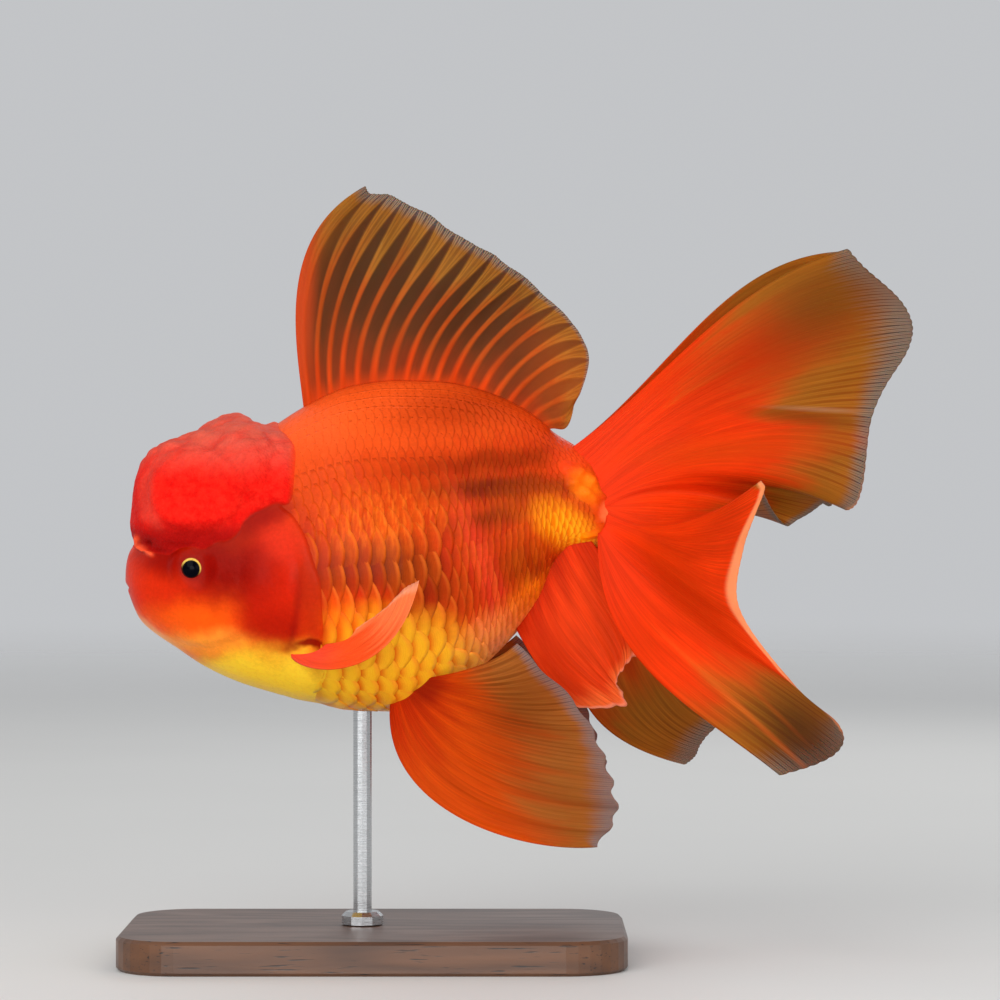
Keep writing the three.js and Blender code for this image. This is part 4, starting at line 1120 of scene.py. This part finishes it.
# Fields of other colours on the fins, told as the patches of the body are; some are painted shade or painted
# highlight on folds.
FIN_PATCHES = {
    "dorsal": [("front red", "b43c18", (-18.5, 151), (3, 22), -4, 0.8, 0.8),
               ("rear orange", "c85410", (46, 139), (7, 13), 28, 0.9, 0.25)],
    "tail_left": [("brown fold", "9c2602", (94, 146), (19, 7), 28, 0.9, 0.75),
                  ("ochre fan", "5c380c", (107, 156), (13, 8), 30, 0.9, 0.75),
                  # The crease is a painted fold shadow; the lit crease beside it is a painted highlight.
                  ("crease", "6a3008", (100, 129.5), (11, 1.6), -6, 0.9, 0.7),
                  ("lit crease", "a87c5c", (104.5, 131), (9, 0.5), -4, 0.9, 0.35),
                  ("lower fold", "bc3c06", (88, 122), (22, 3), 4, 0.9, 0.5),
                  ("lobe shade", "b02c04", (76, 86), (16, 4), -52, 0.9, 0.6),
                  ("lobe tip", "36200a", (99, 56), (11, 8), -45, 0.9, 0.9),
                  # Painted highlights along two folds of the lower lobe.
                  ("lit fold", "dc6420", (85, 62.5), (18, 0.6), -43, 0.9, 0.35),
                  ("second lit fold", "c85418", (88.5, 66), (12, 0.5), -45, 0.9, 0.2)],
    "tail_right": [],
    "pelvic": [("root shade", "7c1404", (13, 65), (4, 3), 30, 0.8, 0.7),
               ("rear brown", "6a300a", (36, 62), (9, 7), 40, 0.9, 0.6),
               ("ochre field", "84481a", (44, 44), (9, 12), 0, 0.9, 0.5)],
    # Painted shade on the fold along the anal fin's front rays.
    "anal": [("front fold", "b02404", (42, 74), (3.4, 12), 34, 0.7, 0.6)],
    "pectoral": [("pink root", "f0503c", (-15, 74), (6, 4), 0, 0.8, 0.5)]}


def fin_sheet(rows, ray, out):
    """A cubic surface through the four rows of a fin."""
    curves = [curve_through(row, ray) for row in rows]
    third, two_thirds = 1 / 3, 2 / 3
    weights = (-4.5 * (out - third) * (out - two_thirds) * (out - 1),
               13.5 * out * (out - two_thirds) * (out - 1), -13.5 * out * (out - third) * (out - 1),
               4.5 * out * (out - third) * (out - two_thirds))
    return sum(weight[..., None] * curve for weight, curve in zip(weights, curves))


def fin_normals(rows, ray, out, nudge=1e-3):
    before, after = np.clip(ray - nudge, 0, 1), np.clip(ray + nudge, 0, 1)
    normal = np.cross(fin_sheet(rows, after, out) - fin_sheet(rows, before, out),
                      fin_sheet(rows, ray, out + nudge) - fin_sheet(rows, ray, out - nudge))
    return normal / np.maximum(np.linalg.norm(normal, axis=-1, keepdims=True), 1e-12)


def fin_values(tones, ray, out):
    """What the material of a fin reads at each point."""
    tones = np.array(tones)
    tip_starts, hem, web, pale = (np.interp(ray, tones[:, 0], tones[:, k]) for k in (1, 2, 3, 4))
    roll = np.maximum(pale, 0.01)
    return {"tip": (out - tip_starts) / np.maximum(1 - tip_starts, 0.05), "web": web,
            "hem": (out - 1 + hem) / np.maximum(hem, 0.01),
            "rolled": step_up(0, 0.2, pale) * step_up(1 - 0.13 * roll, 1 - 0.07 * roll, out)}


def fin(name, rows, tones, material, nodes, rays, across, steps, ruffle, seed, ray_height, root_depth=1.2,
        hem_wear=0.01, scallop=0.012, folds=0.0, starts=0.0):
    """A sheet with raised, forking rays, a fleshy root and a thin worn hem."""
    random = np.random.default_rng(seed)
    count, *forks = rays
    columns = count * across + 1
    ray, out = np.meshgrid(np.linspace(0, 1, columns), np.linspace(0, 1, steps + 1), indexing="ij")
    tips = random.normal(0, 1, 21)
    uneven = np.interp(ray, np.linspace(0, 1, len(tips)), tips)
    nick = 1 - fin_rays(ray, np.ones_like(out), count, *forks)
    grows = scallop * np.cos(2 * math.pi * 7 * ray + 1) + hem_wear * (0.5 * uneven - 0.4 * nick)
    middle = fin_sheet(rows, ray, (starts + (1 - starts) * out) * (1 + grows * out ** 2))
    normal = fin_normals(rows, ray, out)
    waves = sum(size * np.sin(2 * math.pi * (turns * ray + swing * out + random.random()))
                for turns, swing, size in ((5.5, 0.4, 1), (12, 0.9, 0.55), (21, 1.3, 0.3)))
    broad = np.sin(2 * math.pi * (2.6 * ray + 0.15 * out + random.random()))
    middle = middle + normal * (ruffle * waves * out ** 1.7 + folds * broad * out ** 1.3)[..., None]
    edge = np.minimum(ray, 1 - ray)
    thick = 0.5 * (0.16 + 0.5 * (1 - out) + root_depth * np.exp(-out / 0.06))
    thick *= 0.45 + 0.55 * step_up(0, 0.02, edge)
    thick += ray_height * fin_rays(ray, out, count, *forks) * (1 - 0.55 * out)
    thick += 0.18 * np.exp(-edge * count / 0.5) * (1 - out)
    half = (normal * thick[..., None]).reshape(-1, 3)
    points = np.concatenate([middle.reshape(-1, 3) + half, middle.reshape(-1, 3) - half])
    faces = faced_out(points, shell_faces(columns, steps + 1))
    values = {key: np.tile(value.ravel(), 2) for key, value in fin_values(tones, ray, out).items()}
    spread = np.tile(np.stack([ray.ravel(), out.ravel()], -1), (2, 1))
    piece = make_mesh(name, points, faces, values, {"fin_map": spread})
    return finish_piece(piece, material, "fin_membrane", *nodes)


def share_past(tree, out, start):
    """How far out is past start, as a share of the way from there to the margin."""
    share = math_node(tree, "DIVIDE", minus(tree, out, start), minus(tree, 1.0, start), clamp=True)
    return math_node(tree, "POWER", share, 1.2)


def fin_ray_group():
    """Rays that fork three times into a brush, from the map of a fin: across the rays and out along them."""
    tree, take, give = new_group("fin_rays", [
        ("Across", "number", 0), ("Out", "number", 0), ("Rays", "number", 12), ("First fork", "number", 0.4),
        ("Second fork", "number", 0.7)], [("On ray", "number"), ("Brush", "number")])
    last_fork = math_node(tree, "MULTIPLY_ADD", take["Second fork"], 0.5, 0.5)
    first, second, last = (times(tree, share_past(tree, take["Out"], start), parts) for start, parts in (
        (take["First fork"], 0.25), (take["Second fork"], 0.115), (last_fork, 0.055)))
    phase = math_node(tree, "FRACT", times(tree, take["Across"], take["Rays"]))
    offset = away = math_node(tree, "ABSOLUTE", minus(tree, phase, 0.5))
    for fork in (first, second, last):
        away = math_node(tree, "ABSOLUTE", minus(tree, away, fork))
    width = ramp(tree, take["Out"], 0.0, 0.95, 0.21, 0.032)
    past_branches = minus(tree, offset, plus(tree, first, second))
    fill(tree, give, {"On ray": ramp(tree, away, times(tree, width, 1.6), times(tree, width, 0.2)),
                      "Brush": ramp(tree, past_branches, 0.16, 0.0)})
    return tree


def fin_flesh_group(fin_rays_effect):
    """Flesh, rays, webbing, a clear hem and a pale rolled edge, from the map and the tones of a fin."""
    tree, take, give = new_group("fin_flesh", [
        ("Root", "colour", "e8401a"), ("Middle", "colour", "f85020"), ("Tip", "colour", "b06a1c"),
        ("Web", "colour", "8a3a0c"), ("Hem", "colour", "a8a29c"), ("Ray tip", "colour", "d8b494"),
        ("Pale edge", "colour", "f2905e"), ("Web starts", "number", 0.1), ("Web grows", "number", 0.12),
        ("Bunched", "number", 0.0), ("Web clear", "number", 0.2), ("Hem clear", "number", 0.7),
        ("Rays", "number", 12.0), ("First fork", "number", 0.4), ("Second fork", "number", 0.7)],
        [("Colour", "colour"), ("Alpha", "number"), ("Height", "number")])
    on_map = add(tree, "SeparateXYZ", {0: add(tree, "UVMap", uv_map="fin_map")[0]})
    across, out = on_map["X"], on_map["Y"]
    tip, hem_at, web, rolled = (number_on_mesh(tree, key) for key in ("tip", "hem", "web", "rolled"))
    rays = use_group(tree, fin_rays_effect, {
        "Across": across, "Out": out, **{key: take[key] for key in ("Rays", "First fork", "Second fork")}})
    on_ray = rays["On ray"]

    def drawn_out(across_scale, out_scale, detail, roughness=0.5):
        """Noise that is drawn out along the rays."""
        flat = {0: times(tree, across, across_scale), 1: times(tree, out, out_scale)}
        return noise(tree, add(tree, "CombineXYZ", flat)[0], 1.0, detail, roughness)

    streak = drawn_out(times(tree, take["Rays"], 3.0), 3.0, 4.0, 0.6)
    broad = drawn_out(11.0, 2.2, 4.0)
    bunch = drawn_out(times(tree, take["Rays"], 0.45), 1.5, 2.0)
    drift = minus(tree, broad, 0.5)

    def drifting(value, share):
        return math_node(tree, "MULTIPLY_ADD", drift, share, value)

    tip_at = math_node(tree, "MULTIPLY_ADD", minus(tree, bunch, 0.5), 0.5, drifting(tip, 1.2))
    flesh = blend_colour(tree, ramp(tree, drifting(out, 0.6), 0.0, 0.4), take["Root"], take["Middle"])
    flesh = blend_colour(tree, ramp(tree, tip_at, 0.0, 0.75), flesh, take["Tip"])
    # The broad tone is painted light and shade of the fin's soft folds; the fine streaks and the bunched rays
    # are the fin's own tone.
    flesh = toned(tree, flesh, Value=times(
        tree, ramp(tree, streak, 0.25, 0.75, 0.84, 1.12), ramp(tree, broad, 0.3, 0.7, 0.84, 1.1),
        ramp(tree, bunch, 0.3, 0.7, 0.92, 1.05)))
    between = times(tree, math_node(tree, "SUBTRACT", 1.0, on_ray, clamp=True),
                    math_node(tree, "MULTIPLY_ADD", rays["Brush"], -0.6, 1.0))
    web_ends = plus(tree, take["Web starts"], take["Web grows"])
    web_shows = times(tree, web, ramp(tree, bunch, 0.35, 0.6, minus(tree, 1.0, take["Bunched"]), 1.0),
                      ramp(tree, drifting(out, 0.15), take["Web starts"], web_ends, 0.05, 1.0))
    web_out = times(tree, between, web_shows)
    web_tone = blend_colour(tree, ramp(tree, drifting(out, 0.8), 0.0, 0.6, 0.4, 0.06), take["Web"], flesh)
    body = blend_colour(tree, web_out, toned(tree, flesh, Value=1.08), web_tone)
    hem = ramp(tree, plus(tree, minus(tree, streak, 0.5), hem_at), -0.3, 0.8)
    hem_colour = blend_colour(tree, times(tree, on_ray, 0.6), take["Hem"], take["Ray tip"])
    colour = blend_colour(tree, hem, body, hem_colour)
    clear_hem = times(tree, hem, take["Hem clear"], math_node(tree, "MULTIPLY_ADD", on_ray, -0.6, 1.0))
    clear = math_node(tree, "MAXIMUM", times(tree, web_out, take["Web clear"]), clear_hem)
    fill(tree, give, {
        "Colour": blend_colour(tree, times(tree, rolled, 0.8), colour, take["Pale edge"]),
        "Alpha": math_node(tree, "SUBTRACT", 1.0, clear, clamp=True),
        "Height": math_node(tree, "MULTIPLY_ADD", on_ray, 0.7, streak)})
    return tree


FIN_FLESH = fin_flesh_group(fin_ray_group())


def fin_material(name, patches, rays, **values):
    material, tree, shader = new_material(
        name, Roughness=0.45, Subsurface_Weight=0.25, Subsurface_Scale=0.0015,
        Subsurface_Radius=(1.0, 0.3, 0.1), Specular_IOR_Level=0.05, Specular_Tint=WARM_GLOSS)
    flesh = use_group(tree, FIN_FLESH, {
        **dict(zip(("Rays", "First fork", "Second fork"), map(float, rays))),
        **{key.replace("_", " "): value for key, value in values.items()}})
    colour, place = flesh["Colour"], place_on_fish(tree)
    for _, *patch in FIN_PATCHES[patches]:
        colour, _ = with_patch(tree, place, colour, *patch)
    fill(tree, shader, {"Base Color": colour, "Alpha": flesh["Alpha"],
                        "Normal": bumped(tree, flesh["Height"], 0.22, 0.0003)})
    return material


def mirrored(rows, side):
    return [np.array(row, float) * (1, -side, 1) for row in rows]


# How many rays each fin has, and how far out they fork for the first and for the second time.
DORSAL_RAYS = (18, 0.4, 0.6)
PELVIC_RAYS = (40, 0.25, 0.6)
PECTORAL_RAYS = (22, 0.4, 0.75)
ANAL_RAYS = (26, 0.4, 0.7)
TAIL_RAYS = {LEFT: (110, 0.25, 0.6), RIGHT: (92, 0.25, 0.6)}
TAIL_WEB = {LEFT: "6c2a06", RIGHT: "4a1e06"}
TAIL_ROOT = {LEFT: "da3412", RIGHT: "c43006"}
TAIL_MIDDLE = {LEFT: "d03006", RIGHT: "b83806"}


def fins():
    dorsal_flesh = fin_material(
        "dorsal_fin_flesh", "dorsal", DORSAL_RAYS, Root="c43a0a", Middle="9c4012", Tip="88581e", Web="3a2412",
        Hem="443c38", Ray_tip="a08c70", Web_starts=0.0, Web_clear=0.05, Hem_clear=0.2)
    fin("dorsal_fin_sheet", DORSAL_FIN, DORSAL_TONES, dorsal_flesh, ["dorsal_fin"], DORSAL_RAYS, across=12,
        steps=90, ruffle=0.35, seed=3, ray_height=0.12, root_depth=2.2, scallop=0.005)
    for side, label in SIDES:
        tail_flesh = fin_material(
            f"tail_fin_flesh_{label}", f"tail_{label}", TAIL_RAYS[side], Root=TAIL_ROOT[side],
            Middle=TAIL_MIDDLE[side], Tip="865014", Web=TAIL_WEB[side], Hem="3c332e", Ray_tip="a08c74",
            Web_starts=0.45, Web_grows=0.5, Bunched=0.75, Web_clear=0.05, Hem_clear=0.15)
        fin(f"tail_fin_{label}", tail_rows(side), TAIL_TONES[side], tail_flesh,
            [f"tail_fin_upper_{label}", f"tail_fin_lower_{label}"], TAIL_RAYS[side], across=3, steps=100,
            ruffle=0.3, seed=11 + side, ray_height=0.0, root_depth=1.6, folds=0.7, starts=-0.03)
    pelvic_flesh = fin_material(
        "pelvic_fin_flesh", "pelvic", PELVIC_RAYS, Root="b42804", Middle="b43c05", Tip="8c501c", Web="5e2c0a",
        Hem="5c5052", Ray_tip="9a8272", Web_starts=0.25, Web_grows=0.4, Bunched=0.7, Web_clear=0.06,
        Hem_clear=0.15)
    pectoral_flesh = fin_material(
        "pectoral_fin_flesh", "pectoral", PECTORAL_RAYS, Root="e63c22", Middle="f04c1c", Tip="fa7440",
        Web="e45024", Hem="ffa070", Ray_tip="ffbc90", Pale_edge="f8906a", Web_starts=0.2, Web_clear=0.1,
        Hem_clear=0.3)
    anal_flesh = fin_material(
        "anal_fin_flesh", "anal", ANAL_RAYS, Root="c02808", Middle="cc360e", Tip="e05c28", Web="b82e08",
        Hem="e08460", Ray_tip="f0a888", Pale_edge="ee7c5c", Web_starts=0.1, Web_grows=0.5, Bunched=0.8,
        Web_clear=0.08, Hem_clear=0.3)
    for side, label in SIDES:
        fin(f"pelvic_fin_sheet_{label}", mirrored(PELVIC_FIN, side), PELVIC_TONES, pelvic_flesh,
            [f"pelvic_fin_{label}"], PELVIC_RAYS, across=4, steps=80, ruffle=0.3, seed=21 + side,
            ray_height=0.02, folds=0.5, starts=-0.06)
        fin(f"pectoral_fin_sheet_{label}", mirrored(PECTORAL_FIN, side), SMALL_FIN_TONES, pectoral_flesh,
            [f"pectoral_fin_{label}"], PECTORAL_RAYS, across=5, steps=64, ruffle=0.06, seed=31 + side,
            ray_height=0.02, hem_wear=0.002, scallop=0.0)
        fin(f"anal_fin_sheet_{label}", mirrored(ANAL_FIN, side), ANAL_TONES, anal_flesh,
            [f"anal_fin_{label}"], ANAL_RAYS, across=5, steps=56, ruffle=0.25, seed=41 + side,
            ray_height=0.02, hem_wear=0.004, starts=-0.08)


# ---------------------------------------------------------------- eyes

PUPIL_DROP = 2.2  # degrees by which the pupil looks down in its ring
RING_LEAN = 0.45  # how much the lit upper part of the ring leans towards the tail


def eye_material():
    """A black pupil in a thin ring, gold above as a painted highlight and dark red below as painted shade,
    told apart by the turn away from the eye's own axis.
    """
    material, tree, shader = new_material("gold_ringed_eye", Roughness=0.1, Specular_IOR_Level=0.04)
    turn, pupil_turn = number_on_mesh(tree, "turn"), number_on_mesh(tree, "pupil_turn")
    place = place_on_fish(tree)
    parts = add(tree, "SeparateXYZ", {0: place})
    height = math_node(tree, "MULTIPLY_ADD", parts["X"], RING_LEAN, parts["Z"])
    gold = blend_colour(tree, noise(tree, place, 2.4, 3.0), "a8701a", "ffe070")
    middle = EYE["z"] + RING_LEAN * EYE["x"]
    # Painted light: the ring runs from dark red below, a painted shade, to gold above, a painted highlight.
    ring = blend_colour(tree, ramp(tree, height, middle - 1.3, middle + 1.0), "4a0e06", gold)
    iris = blend_colour(tree, ramp(tree, turn, 36.5, 39), ring, "6a0a04")
    fill(tree, shader, {"Base Color": blend_colour(tree, ramp(tree, pupil_turn, 27, 28.6), "020208", iris)})
    return material


def eye_ball(side, label, material):
    """A globe with a slight dip at its ring, turned so that its axis looks out square to the cheek."""
    rows, columns = 60, 64
    turn, round_axis = np.linspace(0, math.pi, rows)[:, None], all_round(columns)[..., None]
    degrees = np.degrees(turn)
    bulge = EYE["radius"] * (1 - 0.03 * step_up(28, 33, degrees) * step_up(60, 42, degrees)
                             + 0.02 * step_up(24, 8, degrees))
    axis, up = eye_axis(side), np.array([0, 0, 1.0])
    ahead = np.cross(up, axis)
    ring = (np.sin(turn) * bulge)[..., None]
    outward = (np.cos(turn) * bulge)[..., None] * axis
    points, faces = round_form(
        eye_middle(side) + outward + ring * (np.cos(round_axis) * ahead + np.sin(round_axis) * up))
    heading = (points - eye_middle(side)) / np.linalg.norm(points - eye_middle(side), axis=1, keepdims=True)
    drop = math.radians(PUPIL_DROP)
    looks = axis * math.cos(drop) - up * math.sin(drop)
    piece = make_mesh(f"eyeball_{label}", points, faced_out(points, faces), {
        "turn": np.repeat(degrees.ravel(), columns),
        "pupil_turn": np.degrees(np.arccos(np.clip(heading @ looks, -1, 1)))})
    return finish_piece(piece, material, "eye_glass", f"eye_{label}")


# ---------------------------------------------------------------- stand


def wood_material():
    material, tree, shader = new_material("oiled_walnut", Coat_Weight=0.15, Coat_Roughness=0.3)
    place = own_place(tree)
    figure = noise(tree, stretched(tree, place, (14, 160, 160)), 1.0, 5.0, Distortion=0.8)
    broad = noise(tree, stretched(tree, place, (9, 42, 60)), 1.0)
    rings = ramp(tree, math_node(tree, "PINGPONG", times(tree, broad, 6.0), 0.5), 0.0, 0.5)
    pore = ramp(tree, noise(tree, stretched(tree, place, (120, 2200, 2200)), 1.0), 0.62, 0.7)
    share = math_node(tree, "MULTIPLY_ADD", rings, 0.28, times(tree, figure, 0.8))
    colour = blend_colour(tree, pore, blend_colour(tree, share, "2a160c", "6d4426"), "1c0e07")
    fill(tree, shader, {"Base Color": colour, "Roughness": ramp(tree, share, 0, 1, 0.48, 0.36),
                        "Normal": bumped(tree, minus(tree, share, pore), 0.15, 0.0003)})
    return material


def steel_material():
    material, tree, shader = new_material("brushed_steel_rod", Metallic=1.0, Anisotropic=0.4)
    brushed = noise(tree, stretched(tree, own_place(tree), (300, 300, 9000)), 1.0, 3.0)
    fill(tree, shader, {"Base Color": blend_colour(tree, brushed, "a9abad", "d2d4d6"),
                        "Roughness": ramp(tree, brushed, 0.3, 0.7, 0.22, 0.38),
                        "Normal": bumped(tree, brushed, 0.08, 0.0001)})
    return material


def dress_node(name, material):
    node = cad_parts[name]
    node.data.materials.clear()
    node.data.materials.append(material)


# ---------------------------------------------------------------- studio

CAMERA_PLACE = (0.030, -0.900, 0.10992)
LENS, SENSOR_WIDTH, CLIP_START = 135, 36, 0.01
FLOOR_REACH = 3.0
LIT_MIDDLE = (0.02, 0, 0.1)
# Each lamp's name, place, size and power.
LAMPS = (("key_lamp", (-0.4, -0.85, 0.6), 0.9, 6.0), ("fill_lamp", (0.75, -0.8, 0.3), 0.8, 2.6),
         ("low_lamp", (-0.1, -1.0, 0.08), 0.6, 5.2), ("back_lamp", (0.3, 0.8, 0.6), 0.5, 1.2))
ROOM_COLOUR, ROOM_STRENGTH = (0.80, 0.815, 0.84, 1), 0.68


def studio_floor():
    material, tree, shader = new_material("pale_floor", Roughness=0.6, Specular_IOR_Level=0.2)
    place = own_place(tree)
    distance = add(tree, "VectorMath", {0: place}, operation="LENGTH")["Value"]
    fill(tree, shader, {"Base Color": blend_colour(tree, noise(tree, place, 6.0), "dcdbd8", "e0dfdc"),
                        "Alpha": ramp(tree, distance, 0.5, 2.6, 1.0, 0.0)})
    corners = np.array([(-1, -1, 0), (1, -1, 0), (1, 1, 0), (-1, 1, 0)], float) * FLOOR_REACH / MM
    floor = make_mesh("studio_floor", corners, np.array([[0, 1, 2, 3]]))
    floor.data.materials.append(material)


def lamp(name, place, size, power):
    light = bpy.data.lights.new(name, "AREA")
    light.shape = "DISK"
    light.size = size
    light.energy = power
    holder = bpy.data.objects.new(name, light)
    holder.location = place
    holder.rotation_euler = (Vector(LIT_MIDDLE) - Vector(place)).to_track_quat("-Z", "Y").to_euler()
    bpy.context.scene.collection.objects.link(holder)


def studio_light():
    world = bpy.data.worlds.new("pale_room")
    bpy.context.scene.world = world
    world.use_nodes = True
    back = world.node_tree.nodes["Background"]
    back.inputs["Color"].default_value = ROOM_COLOUR
    back.inputs["Strength"].default_value = ROOM_STRENGTH
    for each in LAMPS:
        lamp(*each)


def studio_camera():
    camera = bpy.data.cameras.new("camera")
    camera.lens = LENS
    camera.sensor_width = SENSOR_WIDTH
    camera.clip_start = CLIP_START
    holder = bpy.data.objects.new("camera", camera)
    holder.location = CAMERA_PLACE
    holder.rotation_euler = (math.pi / 2, 0, 0)
    bpy.context.scene.collection.objects.link(holder)
    bpy.context.scene.camera = holder


# ---------------------------------------------------------------- making

studio_camera()
studio_light()
studio_floor()
bpy.context.scene.view_settings.view_transform = "Standard"

fish_skin(skin_material())
SCALE_FINISH = scale_material()
EYE_FINISH = eye_material()
for SIDE, LABEL in SIDES:
    for COAT in COATS:
        scales(SIDE, LABEL, *COAT, SCALE_FINISH)
    eye_ball(SIDE, LABEL, EYE_FINISH)
fins()
dress_node("stand_base", wood_material())
dress_node("stand_rod", steel_material())
